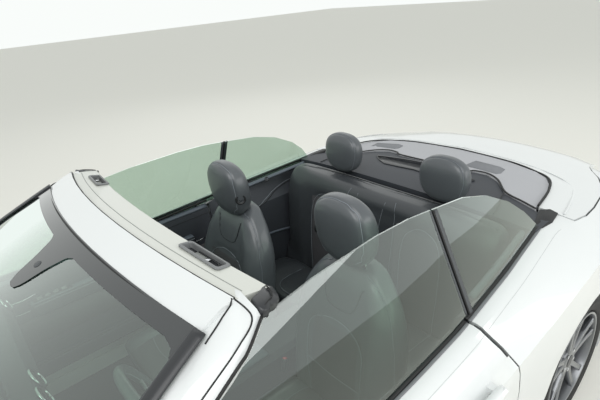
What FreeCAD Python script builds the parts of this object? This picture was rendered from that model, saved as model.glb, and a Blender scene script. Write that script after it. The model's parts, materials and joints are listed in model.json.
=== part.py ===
"""A four-seat convertible car with its roof folded away, as separate pieces in one frame.

Frame: +Z up, the nose points along -Y, the car's left side is +X, and the origin is on the ground
midway along and across the car. Every length is in millimetres. Each piece goes to its own STEP file.
"""
import FreeCAD
import Part

import math
import os

from FreeCAD import Vector

# Overall sizes
FRONT_OVERHANG = 790.0
WHEELBASE = 2840.0
REAR_OVERHANG = 1056.0

# The layout. Places along the car in this file are the layout's, and `along` turns them into real ones:
# a change to one of the three sizes above is taken up evenly between the two places of its row.
# Columns: first place, last place, how much longer the stretch between them is than the layout's.
STRETCHES = [(-2115.0, -1950.0, FRONT_OVERHANG - 790.0), (-220.0, 840.0, WHEELBASE - 2840.0),
             (1700.0, 2060.0, REAR_OVERHANG - 1056.0)]
FRONT_AXLE_Y = -1553.0
REAR_AXLE_Y = 1287.0
PANEL_GAP = 6.0

# Wheels
TYRE_RADIUS = 331.0
RIM_RADIUS = 241.0
RIM_WIDTH = 214.0
RIM_INNER_RADIUS = 226.0
ARCH_RADIUS = 372.0
ARCH_SIDES = 44
WHEELHOUSE_INNER_X = 485.0
SPOKE_PAIRS = 5

# Front body sizes
BONNET_SKIN = 28.0
BONNET_HALF_WIDTH = 730.0
COWL_Y = -1075.0

# Doors
DOOR_FRONT_Y = -850.0
DOOR_SILL_Z = 300.0
GLASS_THICKNESS = 5.0
GLASS_LEAN = 0.465

# Seats
CONSOLE_HALF_WIDTH = 105.0
TUNNEL_HALF_WIDTH = CONSOLE_HALF_WIDTH + 25.0
ARMREST_X = 690.0
SEAT_SIDE_GAP = 65.0
SEAT_WIDTH = ARMREST_X - SEAT_SIDE_GAP - CONSOLE_HALF_WIDTH
SEAT_X = CONSOLE_HALF_WIDTH + SEAT_WIDTH / 2
REAR_SEAT_X = 302.0

OUT = "parts"


def degrees(angle):
    """Cosine and sine of an angle given in degrees."""
    return math.cos(math.radians(angle)), math.sin(math.radians(angle))


def save(name, *shapes):
    """Write one piece, as one solid or as several that do not touch."""
    solids = [solid for shape in shapes for solid in shape.Solids]
    shape = solids[0] if len(solids) == 1 else Part.makeCompound(solids)
    shape.exportStep(os.path.join(OUT, name + ".step"))


def largest(shape):
    """The biggest solid of a shape."""
    return max(shape.Solids, key=lambda solid: solid.Volume)


def mirrored(shape):
    """The same piece on the car's right side."""
    return shape.mirror(Vector(0, 0, 0), Vector(1, 0, 0))


def both(shape):
    """A piece with its mirror image."""
    return [shape, mirrored(shape)]


def along(y):
    """The real place along the car of a place in the layout."""
    spare = sum(extra for first, last, extra in STRETCHES)
    shares = [(min(max(y, first), last) - first) / (last - first) for first, last, extra in STRETCHES]
    return y - spare / 2 + sum(share * row[2] for share, row in zip(shares, STRETCHES))


def at(x, y, z):
    """A point of the layout, at its real place."""
    return Vector(x, along(y), z)


def box(x, y, z):
    """A box from three (low, high) pairs, for a shape that is moved to its place later."""
    return Part.makeBox(x[1] - x[0], y[1] - y[0], z[1] - z[0], Vector(x[0], y[0], z[0]))


def block(x, y, z):
    """A box from three (low, high) pairs of the layout."""
    return box(x, (along(y[0]), along(y[1])), z)


def eased_block(x, y, z, ease):
    """A box with every edge chamfered."""
    solid = block(x, y, z)
    return solid.makeChamfer(ease, solid.Edges)


def pin(start, axis, radius, length):
    """A round pin from a point, along an axis."""
    return Part.makeCylinder(radius, length, at(*start), Vector(*axis))


def rod(start, end, radius, sides=12):
    """A many-sided rod from one point of the layout to another."""
    return bar(at(*start), at(*end), radius, sides)


def bar(start, end, radius, sides=12):
    """A many-sided rod between two real points."""
    axis = (end - start).normalize()
    across = axis.cross(Vector(1, 0, 0) if abs(axis.x) < 0.9 else Vector(0, 0, 1)).normalize()
    up = axis.cross(across)
    corners = []
    for number in range(sides):
        cosine, sine = degrees(360 * (number + 0.5) / sides)
        corners.append(start + across * (radius * cosine) + up * (radius * sine))
    return Part.Face(polygon(corners)).extrude(end - start)


def ring(centre, outer, inner, length, sides):
    """A many-sided ring across the car, centred on a point."""
    x, y, z = centre
    ends = (x - length / 2, y, z), (x + length / 2, y, z)
    longer = (x - length / 2 - 1, y, z), (x + length / 2 + 1, y, z)
    return rod(*ends, outer, sides).cut(rod(*longer, inner, sides))


def polygon(points):
    """A closed wire of straight edges."""
    return Part.makePolygon([*points, points[0]])


def flat_faces(a, b, c, d):
    """A four-cornered patch, as one flat face or as two triangles."""
    normal = (b - a).cross(c - a)
    if normal.Length < 1e-6 or abs((d - a).dot(normal.normalize())) > 1e-4:
        return [Part.Face(polygon(corners)) for corners in ((a, b, c), (a, c, d)) if spread(corners)]
    return [Part.Face(polygon([a, b, c, d]))]


def spread(corners):
    """Whether three corners span a face."""
    a, b, c = corners
    return (b - a).cross(c - a).Length > 1e-6


def faceted(sections):
    """A solid of flat faces through a run of flat closed sections with as many corners each."""
    faces = [Part.Face(polygon(sections[0])), Part.Face(polygon(sections[-1][::-1]))]
    for first, second in zip(sections, sections[1:]):
        for i, a in enumerate(first):
            after = (i + 1) % len(first)
            faces += flat_faces(a, second[i], second[after], first[after])
    return Part.makeSolid(Part.makeShell(faces))


def between(a, b, c, d, t):
    """The value at share t of the way from b to c on a smooth curve through all four."""
    square, cube = 2 * a - 5 * b + 4 * c - d, 3 * b - a - 3 * c + d
    return 0.5 * (2 * b + (c - a) * t + square * t ** 2 + cube * t ** 3)


def blended(rows, steps):
    """The rows with more rows between them, on smooth curves through the given ones."""
    found = []
    for i in range(len(rows) - 1):
        around = [rows[max(i - 1, 0)], rows[i], rows[i + 1], rows[min(i + 2, len(rows) - 1)]]
        for step in range(steps):
            found.append([between(*values, step / steps) for values in zip(*around)])
    return found + [list(rows[-1])]


def side_prism(outline, x):
    """An outline of (y, z) points, pulled across from one x to another."""
    face = Part.Face(polygon([at(x[0], y, z) for y, z in outline]))
    return face.extrude(Vector(x[1] - x[0], 0, 0))


def plan_prism(outline, z):
    """An outline of (x, y) points, pulled up from one z to another."""
    face = Part.Face(polygon([at(px, py, z[0]) for px, py in outline]))
    return face.extrude(Vector(0, 0, z[1] - z[0]))


def front_prism(outline, y):
    """An outline of (x, z) points, pulled back from one y to another."""
    face = Part.Face(polygon([at(px, y[0], pz) for px, pz in outline]))
    return face.extrude(Vector(0, along(y[1]) - along(y[0]), 0))


def bulged(p, q, bulge):
    """Points from p to q in the (offset, z) plane, with one between them moved outward."""
    run, rise = q[0] - p[0], q[1] - p[1]
    length = math.hypot(run, rise)
    middle = ((p[0] + q[0]) / 2 + bulge * rise / length, (p[1] + q[1]) / 2 - bulge * run / length)
    return [middle, q]


# The body's outline, from the nose round the left side to the tail. A station is a vertical section
# whose plane turns with the body's plan. Columns: x and y of the widest line, the plane's angle, the
# wall's thickness, then offset outward and height of the sill's edge, waist, hip, shoulder, rail and
# inner edge.
STATIONS = [
    # x, y, angle, wall, sill, waist, hip, shoulder, rail, edge
    (0, -2343, -90, 60, (-14, 205), (0, 400), (-6, 560), (-26, 668), (-70, 722), (-118, 742)),
    (380, -2322, -83, 60, (-14, 203), (0, 400), (-6, 560), (-26, 668), (-70, 722), (-118, 742)),
    (640, -2245, -63, 60, (-14, 200), (0, 400), (-6, 560), (-26, 665), (-80, 724), (-140, 748)),
    (800, -2115, -38, 60, (-14, 195), (-2, 400), (-6, 560), (-24, 668), (-90, 732), (-160, 757)),
    (868, -1950, -14, 60, (-16, 188), (-6, 400), (-5, 560), (-15, 690), (-95, 768), (-190, 790)),
    (886, -1800, -4, 60, (-18, 182), (-8, 380), (-3, 560), (-6, 725), (-98, 816), (-205, 832)),
    (895, -1553, 0, 70, (-20, 176), (-12, 350), (-5, 560), (-2, 772), (-100, 866), (-210, 888)),
    (893, -1100, 0, 90, (-22, 172), (-14, 340), (-6, 560), (0, 792), (-96, 902), (-190, 932)),
    (890, -850, 0, 110, (-22, 172), (-14, 335), (-6, 560), (0, 796), (-88, 906), (-124, 914)),
    (889, -400, 0, 110, (-22, 172), (-14, 335), (-6, 560), (0, 797), (-84, 904), (-119, 909)),
    (893, 100, 0, 110, (-22, 172), (-14, 335), (-6, 560), (0, 796), (-85, 908), (-123, 912)),
    (898, 500, 0, 110, (-22, 172), (-14, 335), (-6, 560), (0, 800), (-96, 924), (-139, 929)),
    (903, 850, 0, 110, (-20, 174), (-12, 345), (-5, 560), (0, 836), (-122, 950), (-174, 954)),
    (906, 1181, 0, 110, (-18, 178), (-10, 360), (-4, 560), (-1, 880), (-152, 972), (-216, 980)),
    (904, 1400, 2, 110, (-17, 182), (-9, 370), (-4, 570), (-2, 890), (-134, 970), (-240, 982)),
    (893, 1650, 6, 90, (-16, 192), (-6, 390), (-4, 575), (-4, 884), (-136, 962), (-240, 975)),
    (868, 1870, 14, 60, (-15, 205), (-3, 410), (-4, 580), (-8, 866), (-146, 948), (-240, 960)),
    (815, 2060, 33, 60, (-15, 220), (0, 430), (-4, 585), (-16, 846), (-160, 930), (-240, 944)),
    (680, 2215, 58, 60, (-15, 232), (0, 440), (-4, 590), (-34, 836), (-160, 922), (-230, 938)),
    (400, 2308, 78, 60, (-15, 240), (0, 450), (-4, 600), (-44, 832), (-136, 926), (-190, 944)),
    (0, 2343, 90, 60, (-15, 240), (0, 450), (-4, 600), (-46, 832), (-124, 932), (-170, 952)),
]
TOP_WALL = 34.0
BULGES = (6.0, 3.0, 5.0, 9.0, 3.0)
STATION_STEPS = 2


def flat(station):
    """A station as one list of numbers."""
    return [*station[:4], *(value for mark in station[4:] for value in mark)]


def mirrored_station(station, half_turn):
    """The same station on the right side; half_turn is -180 at the nose and 180 at the tail."""
    return [-station[0], station[1], half_turn - station[2], *station[3:]]


def section(station):
    """The corners of the body wall's closed section at one station."""
    x, y, angle, wall = station[:4]
    marks = list(zip(station[4::2], station[5::2]))
    cosine, sine = degrees(angle)
    sill, shoulder, rail, edge = marks[0], marks[3], marks[4], marks[5]
    low = (-wall, sill[1] - 6)
    outline = [low, sill]
    for p, q, bulge in zip(marks, marks[1:], BULGES):
        outline += bulged(p, q, bulge)
    outline += [(edge[0], edge[1] - TOP_WALL), (rail[0], rail[1] - TOP_WALL - 8),
                (-wall, shoulder[1] - TOP_WALL)]
    return [at(x + offset * cosine, y + offset * sine, z) for offset, z in outline]


def body_wall(stations):
    """The body's wall through a run of stations."""
    return faceted([section(s) for s in blended(stations, STATION_STEPS)])


def nose_wall():
    """The wall round the nose, from one front wheel to the other."""
    run = [flat(s) for s in STATIONS[:8]]
    return body_wall([mirrored_station(s, -180) for s in reversed(run[1:])] + run)


def tail_wall():
    """The wall round the tail, from one door to the other."""
    run = [flat(s) for s in STATIONS[10:]]
    return body_wall(run + [mirrored_station(s, 180) for s in reversed(run[:-1])])


def side_wall():
    """The left wall, from ahead of the front wheel to behind the rear wheel."""
    return body_wall([flat(s) for s in STATIONS[4:18]])


def station_value(y, mark, part):
    """A mark's offset (part 0, as x) or height (part 1) at a place along the side."""
    run = STATIONS[5:17]
    for a, b in zip(run, run[1:]):
        if a[1] <= y <= b[1]:
            share = (y - a[1]) / (b[1] - a[1])
            first = a[0] + a[mark][0] if part == 0 else a[mark][1]
            last = b[0] + b[mark][0] if part == 0 else b[mark][1]
            return first + share * (last - first)
    raise ValueError("no station at %s" % y)


def wheelhouse(axle_y, inner_x, radius=ARCH_RADIUS):
    """The room round one left wheel."""
    return rod((inner_x, axle_y, TYRE_RADIUS), (960, axle_y, TYRE_RADIUS), radius, ARCH_SIDES)


# The shut lines. The door's outline is in (y, z), from its front lower corner.
FENDER_SEAM_Y = -1850.0
BUMPER_TOP_Z = 640.0
DOOR_REAR = [(545, 300), (600, 380), (640, 500), (650, 640), (632, 770), (600, 848), (566, 925), (556, 990)]
DOOR_OUTLINE = [(DOOR_FRONT_Y, 990), (DOOR_FRONT_Y, 420), (-830, DOOR_SILL_Z), *DOOR_REAR]


# How a crowned sheet falls from its centre: share of the half width, share of the fall.
CROWN_SHAPE = [(0.0, 0.0), (0.2, 0.03), (0.4, 0.12), (0.56, 0.25), (0.62, 0.36), (0.8, 0.6), (1.0, 1.0)]
ROW_STEPS = 2


def bonnet_sheet():
    """The crowned sheet that the bonnet is cut from. Columns: y, height at the centre, fall at the edge."""
    rows = [(-2260, 729, 52), (-2205, 757, 50), (-2120, 790, 60), (-2016, 822, 70), (-1904, 850, 66),
            (-1786, 880, 56), (-1553, 925, 42), (-1300, 962, 44), (-1100, 987, 54), (-900, 1006, 66)]
    return crowned_sheet(blended(rows, ROW_STEPS), BONNET_HALF_WIDTH, BONNET_SKIN)


def crowned_sheet(rows, half_width, skin):
    """A sheet through bowed sections, from rows of y, height at the centre and fall at the edge."""
    return faceted([crowned(y, half_width, crown, fall, skin) for y, crown, fall in rows])


def crowned(y, half_width, crown, fall, skin):
    """A closed section at y: the bowed surface above, the same lower down, and straight ends."""
    half = [(half_width * x, crown - fall * share) for x, share in CROWN_SHAPE]
    top = [at(-x, y, z) for x, z in reversed(half)] + [at(x, y, z) for x, z in half[1:]]
    return top + [p - Vector(0, 0, skin) for p in reversed(top)]


def edge_points(run, inset):
    """The inner edge of the wall at each station, in plan, moved further in."""
    points = []
    for s in run:
        cosine, sine = degrees(s[2])
        offset = s[9][0] - inset
        points.append((s[0] + offset * cosine, s[1] + offset * sine))
    return points


def bonnet():
    """The bonnet, cut from its sheet along the shut line and the cowl."""
    left = edge_points(STATIONS[:8], PANEL_GAP)
    shut = [(-x, y) for x, y in reversed(left[1:])] + left
    line = [(x, y) for x, y in blended(shut, 3)]
    x, y = line[-1]
    cowl = [(x, y + 30), (x * 0.6, COWL_Y - 30), (0, COWL_Y - 55), (-x * 0.6, COWL_Y - 30), (-x, y + 30)]
    prism = plan_prism(line + cowl, (0, 1100))
    return bonnet_sheet().common(prism)


# The deck behind the seats. Columns: y, height at the centre, fall at the edge.
DECK_HALF_WIDTH = 800.0
DECK_ROWS = [(1150, 1008, 34), (1330, 1012, 42), (1550, 1012, 50), (1750, 1005, 62), (1900, 994, 74),
             (2030, 980, 88), (2130, 966, 100), (2200, 950, 112), (2260, 930, 126)]
DECK_SKIN = 30.0
LID_FRONT_Y = 1338.0
LID_FACE_HALF_WIDTH = 560.0
LID_FACE_LOW_Z = 690.0
LID_OUTER = [(758, LID_FRONT_Y), (772, 1420), (768, 1520), (748, 1660), (712, 1790), (660, 1905),
             (LID_FACE_HALF_WIDTH + 40, 2000), (LID_FACE_HALF_WIDTH, 2080), (LID_FACE_HALF_WIDTH, 2300)]
LID_INNER = [(620, LID_FRONT_Y), (604, 1440), (588, 1520), (560, 1610), (520, 1672), (460, 1706),
             (300, 1745), (0, 1762)]
COVER_GAP = 9.0
COVER_FRONT = [(0, 1462), (200, 1464), (240, 1488), (305, 1494), (376, 1456), (462, 1358), (560, 1322),
               (626, 1298)]
PARCEL_SKIN = 24.0
PARCEL_ROWS = [(1120, 1004, 22), (1230, 1018, 30), (1340, 1014, 36), (1510, 1011, 42)]
BLOCKER_SLOT = [(-180, 1303), (0, 1320), (180, 1303), (300, 1385), (0, 1428), (-300, 1385)]


def deck_sheet():
    """The crowned sheet that the boot lid and the roof's cover are cut from."""
    return crowned_sheet(blended(DECK_ROWS, ROW_STEPS), DECK_HALF_WIDTH, DECK_SKIN)


def mirrored_outline(half):
    """A closed outline from its left half, which runs from one end of the centre line to the other."""
    return half + [(-x, y) for x, y in reversed(half) if x]


def boot_lid(deck, tail):
    """The boot lid: the deck round the roof's cover, and the upright panel between the rear lamps."""
    plan = plan_prism(mirrored_outline(LID_INNER[::-1] + LID_OUTER), (900, 1100))
    width = (-LID_FACE_HALF_WIDTH, LID_FACE_HALF_WIDTH)
    face = tail.common(block(width, (2020, 2400), (LID_FACE_LOW_Z, 1000)))
    return deck.common(plan).fuse(face)


def roof_cover(deck):
    """The padded cover over the folded roof, inside the boot lid's arms."""
    back = [(x - COVER_GAP if x else 0, y - COVER_GAP) for x, y in LID_INNER]
    plan = plan_prism(mirrored_outline(COVER_FRONT + back), (900, 1100))
    return deck.common(plan)


def parcel_panel(cutters):
    """The fixed panel between the rear backrest and the roof's cover, with a slot for the wind blocker."""
    half = [(0, 1136), (700, 1136), (700, 1290)]
    back = [(x, y - PANEL_GAP) for x, y in COVER_FRONT[::-1]]
    panel = crowned_sheet(PARCEL_ROWS, 700, PARCEL_SKIN)
    panel = panel.common(plan_prism(mirrored_outline(half + back), (900, 1100)))
    slot = plan_prism(BLOCKER_SLOT, (1000, 1100))
    return largest(panel.cut([slot, *cutters]))


def glass_x(y, z):
    """The outer face of the side glass."""
    return station_value(y, 9, 0) - 6 - GLASS_LEAN * (z - station_value(y, 9, 1))


def pane(rows):
    """Side glass from rows of (y, low z, high z), as a loft of slanting strips."""
    sections = []
    for y, low, high in rows:
        corners = [at(glass_x(y, low), y, low), at(glass_x(y, high), y, high)]
        sections.append(corners + [c - Vector(GLASS_THICKNESS, 0, 0) for c in reversed(corners)])
    return faceted(sections)


# Side glass. Columns: y, low z, high z.
DOOR_GLASS = [(-740, 862, 932), (-600, 862, 1011), (-400, 860, 1114), (-200, 860, 1207), (-60, 862, 1248),
              (100, 866, 1266), (330, 872, 1274), (470, 876, 1270), (578, 880, 1258)]
QUARTER_GLASS = [(586, 884, 1257), (760, 900, 1235), (900, 910, 1195), (1030, 922, 1130), (1120, 930, 1060),
                 (1181, 940, 992)]

# Windscreen. Each pair gives the centre's and the corner's place at the base and at the header.
GLASS_BASE = ((0, -1010, 1000), (745, -850, 950))
GLASS_TOP = ((0, -268, 1318), (602, -206, 1286))
GLASS_CROWN = 10.0
GLASS_STRIPS = 5
HEADER_HALF = 590.0
# The painted header and the landing panel behind it, as (y, z) at the centre and at the corner.
HEADER = [((-272, 1318), (-208, 1286)), ((-230, 1340), (-165, 1307)), ((-187, 1356), (-122, 1322)),
          ((-184, 1340), (-119, 1306)), ((-190, 1310), (-132, 1276)), ((-262, 1302), (-198, 1270))]
LANDING = [((-181, 1349), (-116, 1315)), ((-150, 1344), (-86, 1310)), ((-88, 1333), (-30, 1300)),
           ((-80, 1322), (-23, 1289)), ((-92, 1306), (-36, 1272)), ((-187, 1310), (-129, 1276))]
LATCH_X = 391.0
LATCH_Y = -79.0
LATCH_Z = 1322.0
LATCH_LENGTH = 154.0
LATCH_WIDTH = 34.0
LATCH_TURN = 6.0
# The screen pillar. Columns: y, outer x, top z, width, depth, fall from the screen's edge outward.
PILLAR = [(-98, 650, 1318, 96, 56, 14), (-160, 684, 1297, 112, 58, 22), (-205, 696, 1279, 124, 60, 30),
          (-400, 722, 1186, 107, 62, 38), (-600, 742, 1083, 84, 62, 34), (-780, 759, 988, 62, 60, 28),
          (-890, 763, 930, 58, 50, 22)]
# The panel before the windscreen. Columns: y, height at the centre, fall at the edge.
COWL = [(-1160, 912, 56), (-1100, 924, 58), (-1050, 948, 60), (-1010, 990, 60), (-850, 998, 60)]
COWL_HALF_WIDTH = 745.0
COWL_SKIN = 18.0

# Wheels
FRONT_WHEEL_X = 781.0
REAR_WHEEL_X = 773.0
KINGPIN_X = 750.0
KINGPIN_RADIUS = 12.0
SPINDLE_RADIUS = 20.0
RUNNING_CLEARANCE = 0.1
TYRE_PROFILE = [(-110, 262), (-112.5, 290), (-94, 331), (94, 331), (112.5, 290), (110, 262)]
TYRE_SIDES = 40
RIM_SIDES = 30
DISC_RADIUS = 150.0
HUB_RADIUS = 70.0
# A spoke from the hub outward. Columns: radius, inner face's x, half width, depth.
SPOKE_ROWS = [(50, 64, 16, 24), (140, 72, 12, 20), (229, 84, 10, 16)]
SPOKE_TAPER = 0.6
SPOKE_LEAN = 11.0


def many_sided(radius, sides, x):
    """Corners evenly round the wheel's axis, with one at the bottom."""
    corners = []
    for number in range(sides):
        cosine, sine = degrees(-90 + 360 * number / sides)
        corners.append(Vector(x, radius * cosine, radius * sine))
    return corners


def wheel_solid(profile, sides):
    """A solid round the wheel's axis through (x, radius) points."""
    return faceted([many_sided(radius, sides, x) for x, radius in profile])


def tyre(centre):
    """A tyre, filled by its rim."""
    outer = [(-98, RIM_RADIUS + 4), *TYRE_PROFILE, (98, RIM_RADIUS + 4)]
    shape = wheel_solid(outer, TYRE_SIDES)
    shape = shape.cut(wheel_solid([(-120, RIM_RADIUS), (120, RIM_RADIUS)], RIM_SIDES))
    shape.translate(at(*centre))
    return shape


def rim(centre):
    """A left rim with paired spokes, its hub and its brake disc."""
    half = RIM_WIDTH / 2
    barrel = wheel_solid([(-half, RIM_RADIUS), (half, RIM_RADIUS)], RIM_SIDES)
    hollow = wheel_solid([(-half - 1, RIM_INNER_RADIUS), (half + 1, RIM_INNER_RADIUS)], RIM_SIDES)
    bore = Part.makeCylinder(SPINDLE_RADIUS + RUNNING_CLEARANCE, 60, Vector(-25, 0, 0), Vector(1, 0, 0))
    hub = wheel_solid([(-25, HUB_RADIUS), (70, HUB_RADIUS), (86, HUB_RADIUS * 0.7)], 15)
    disc = wheel_solid([(5, DISC_RADIUS), (27, DISC_RADIUS)], 20)
    pieces = [hub, disc]
    for number in range(SPOKE_PAIRS):
        for lean in (-SPOKE_LEAN, SPOKE_LEAN):
            spoke = spoke_blade()
            spoke.rotate(Vector(0, 0, 0), Vector(1, 0, 0), number * 360 / SPOKE_PAIRS + lean)
            pieces.append(spoke)
    shape = barrel.cut(hollow).fuse(pieces).cut(bore)
    shape.translate(at(*centre))
    return shape


def spoke_blade():
    """One tapering spoke that points straight up from the hub."""
    sections = []
    for radius, x, half, depth in SPOKE_ROWS:
        face = half * SPOKE_TAPER
        sections.append([Vector(x, -half, radius), Vector(x, half, radius),
                         Vector(x + depth, face, radius), Vector(x + depth, -face, radius)])
    return faceted(sections)


def caliper(centre_x, axle_y, side):
    """A brake caliper round the disc, ahead of or behind the axle, with its bracket."""
    arc = ring((centre_x + 16, axle_y, TYRE_RADIUS), 205, 104, 56, 16)
    near = block((centre_x - 20, centre_x + 60), sorted((axle_y, axle_y + side * 210)),
                 (TYRE_RADIUS - 75, TYRE_RADIUS + 75))
    slot = ring((centre_x + 16, axle_y, TYRE_RADIUS), DISC_RADIUS + 8, 1, 34, 16)
    height = (TYRE_RADIUS - 30, TYRE_RADIUS + 30)
    arm = block((centre_x - 50, centre_x - 32), sorted((axle_y, axle_y + side * 150)), height)
    lug = block((centre_x - 36, centre_x - 10), sorted((axle_y + side * 90, axle_y + side * 150)), height)
    return arc.common(near).cut(slot).fuse([arm, lug])


def knuckle():
    """The left front upright with its spindle, caliper and strut."""
    y, z = FRONT_AXLE_Y, TYRE_RADIUS
    upright = block((700, 748), (y - 38, y + 38), (222, 425))
    boss = rod((KINGPIN_X, y, 222), (KINGPIN_X, y, 250), 27)
    spindle = pin((741, y, z), (1, 0, 0), SPINDLE_RADIUS, 70)
    bracket = block((632, 720), (y - 20, y + 20), (360, 420))
    strut = rod((635, y, 355), (635, y, 685), 26)
    steering_arm = block((640, 720), (y + 20, y + 130), (300, 322))
    shape = upright.fuse([boss, spindle, bracket, strut, steering_arm, caliper(FRONT_WHEEL_X, y, -1)])
    return shape.cut(pin((KINGPIN_X, y, 221), (0, 0, 1), KINGPIN_RADIUS + RUNNING_CLEARANCE, 30))


def front_subframe():
    """The cradle under the engine, with the lower arms and their pins."""
    y = FRONT_AXLE_Y
    shape = block((-460, 460), (y - 150, y + 150), (170, 230))
    pieces = []
    for side in (1, -1):
        inner, outer = sorted((side * 440, side * KINGPIN_X))
        pieces.append(block((inner, outer), (y - 25, y + 25), (185, 215)))
        pieces.append(rod((side * KINGPIN_X, y, 185), (side * KINGPIN_X, y, 215), 28))
        pieces.append(pin((side * KINGPIN_X, y, 213), (0, 0, 1), KINGPIN_RADIUS, 32))
        low, high = sorted((side * 400, side * 460))
        for post_y in (y - 150, y + 90):
            pieces.append(block((low, high), (post_y, post_y + 60), (225, 400)))
    return shape.fuse(pieces)


def rear_axle():
    """The beam between the rear wheels, with its spindles and calipers."""
    y, z = REAR_AXLE_Y, TYRE_RADIUS
    shape = block((-620, 620), (y - 50, y + 50), (300, 362))
    left = [rod((599, y, z), (741, y, z), 45),
            pin((735, y, z), (1, 0, 0), SPINDLE_RADIUS, 70),
            caliper(REAR_WHEEL_X, y, 1),
            block((400, 460), (y - 50, y + 50), (355, 400))]
    pieces = [p for piece in left for p in both(piece)]
    return shape.fuse(pieces)


def wheel_liner(axle_y):
    """The lining over one left wheel and the wall inside it."""
    lining = ring((658, axle_y, TYRE_RADIUS), ARCH_RADIUS + 10, ARCH_RADIUS + 1, 376, ARCH_SIDES)
    plate = rod((470, axle_y, TYRE_RADIUS), (486, axle_y, TYRE_RADIUS), ARCH_RADIUS + 10, ARCH_SIDES)
    upper = block((400, 900), (axle_y - 400, axle_y + 400), (TYRE_RADIUS, 800))
    above = block((400, 900), (axle_y - 400, axle_y + 400), (430, 800))
    return lining.common(upper).fuse(plate.common(above))


def rails(y):
    """The two rails along the car between two places."""
    return both(block((400, 470), y, (400, 520)))


FIREWALL_TOP = [(-640, 890), (640, 890), (640, 943), (300, 979), (0, 986), (-300, 979), (-640, 943)]
TUNNEL_WALL = 35.0


def body_shell(walls):
    """The floor, tunnel, firewall, bulkhead, front rails and linings as one welded shell."""
    floor = block((-820, 820), (-870, 1180), (160, 200))
    solids = [
        block((-TUNNEL_HALF_WIDTH, TUNNEL_HALF_WIDTH), (-870, 1180), (190, 330)),
        block((-820, 820), (-870, -830), (160, 900)),
        front_prism(FIREWALL_TOP, (-870, -830)),
        block((-700, 700), (640, 1180), (190, 330)),
        block((-674, 674), (1136, 1180), (200, 976)),
        block((-470, 470), (-2275, -2215), (430, 540)),
        block((-340, 340), (-2220, -2180), (230, 650)),
        *rails((-2230, -860)),
    ]
    shape = floor.fuse(solids)
    shape = shape.cut([*both(wheelhouse(FRONT_AXLE_Y, WHEELHOUSE_INNER_X)),
                       *both(wheelhouse(REAR_AXLE_Y, 400, ARCH_RADIUS + 10))])
    shape = shape.fuse(both(wheel_liner(FRONT_AXLE_Y)))
    door_room = block((764, 960), (DOOR_FRONT_Y - PANEL_GAP, 700), (DOOR_SILL_Z - PANEL_GAP, 1000))
    tunnel_half = TUNNEL_HALF_WIDTH - TUNNEL_WALL
    tunnel_room = block((-tunnel_half, tunnel_half), (-900, 1200), (100, 296))
    return largest(shape.cut([tunnel_room, *both(door_room), *walls]))


def boot_floor(walls):
    """The boot's floor with the rear rails, the beam behind it and the linings over the rear wheels."""
    floor = block((-469, 469), (1180, 2215), (516, 545))
    shape = floor.fuse([block((-420, 420), (2200, 2280), (420, 560)), *rails((1180, 2215)),
                        *both(wheel_liner(REAR_AXLE_Y))])
    return shape.cut(walls)


def windscreen():
    """The laminated windscreen, bowed across and slightly up, as strips that fan out from the header."""
    slope = at(*GLASS_TOP[0]) - at(*GLASS_BASE[0])
    inward = Vector(0, slope.z, -slope.y).normalize()
    climbs = [(t, 4 * GLASS_CROWN * t * (1 - t)) for t in (0, 0.25, 0.5, 0.75, 1)]
    sections = []
    for step in range(-GLASS_STRIPS, GLASS_STRIPS + 1):
        share = step / GLASS_STRIPS
        base, top = [at(corner[0] * share, centre[1] + (corner[1] - centre[1]) * share ** 2,
                        centre[2] + (corner[2] - centre[2]) * share ** 2)
                     for centre, corner in (GLASS_BASE, GLASS_TOP)]
        outer = [base + (top - base) * t - inward * bulge for t, bulge in climbs]
        sections.append(outer + [p + inward * GLASS_THICKNESS for p in reversed(outer)])
    return faceted(sections)


def header_section(marks, share):
    """The corners of the header's section at a share of its half width."""
    corners = []
    for centre, corner in marks:
        y = centre[0] + (corner[0] - centre[0]) * share ** 2
        z = centre[1] + (corner[1] - centre[1]) * share ** 2
        corners.append(at(HEADER_HALF * share, y, z))
    return corners


def header(marks):
    """One of the two beams over the windscreen."""
    shares = [step / GLASS_STRIPS for step in range(-GLASS_STRIPS, GLASS_STRIPS + 1)]
    return faceted([header_section(marks, share) for share in shares])


def header_panel():
    """The panel behind the header that the closed roof lands on, with its two latch pockets."""
    panel = header(LANDING)
    for side in (1, -1):
        pocket = box((-LATCH_LENGTH / 2, LATCH_LENGTH / 2), (-LATCH_WIDTH / 2, LATCH_WIDTH / 2), (-17, 40))
        pocket.rotate(Vector(0, 0, 0), Vector(0, 0, 1), side * LATCH_TURN)
        pocket.translate(at(side * LATCH_X, LATCH_Y, LATCH_Z))
        panel = panel.cut(pocket)
    return panel


def pillar():
    """The left screen pillar."""
    return faceted([[at(x - width + 26, y, z + 2), at(x - 12, y, z - fall), at(x, y, z - fall - 12),
                     at(x - 6, y, z - depth), at(x - width + 14, y, z - depth), at(x - width, y, z - 4)]
                    for y, x, z, width, depth, fall in PILLAR])


def cowl_panel(cutters):
    """The panel between the bonnet and the windscreen."""
    return crowned_sheet(COWL, COWL_HALF_WIDTH, COWL_SKIN).cut(cutters)


# The nose's openings. Columns: low z, high z, half width at the top, half width below, front y of the
# bars, rows and columns of bars.
GRILLES = [(556, 640, 310, 280, -2318, 4, 8), (262, 430, 400, 430, -2302, 5, 10)]
BAR_DEPTH = 26.0


def grille_opening(low, high, top_half, low_half):
    """One opening in the nose."""
    outline = [(-top_half, high), (-low_half, low), (low_half, low), (top_half, high)]
    return front_prism(outline, (-2400, -2225))


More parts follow.
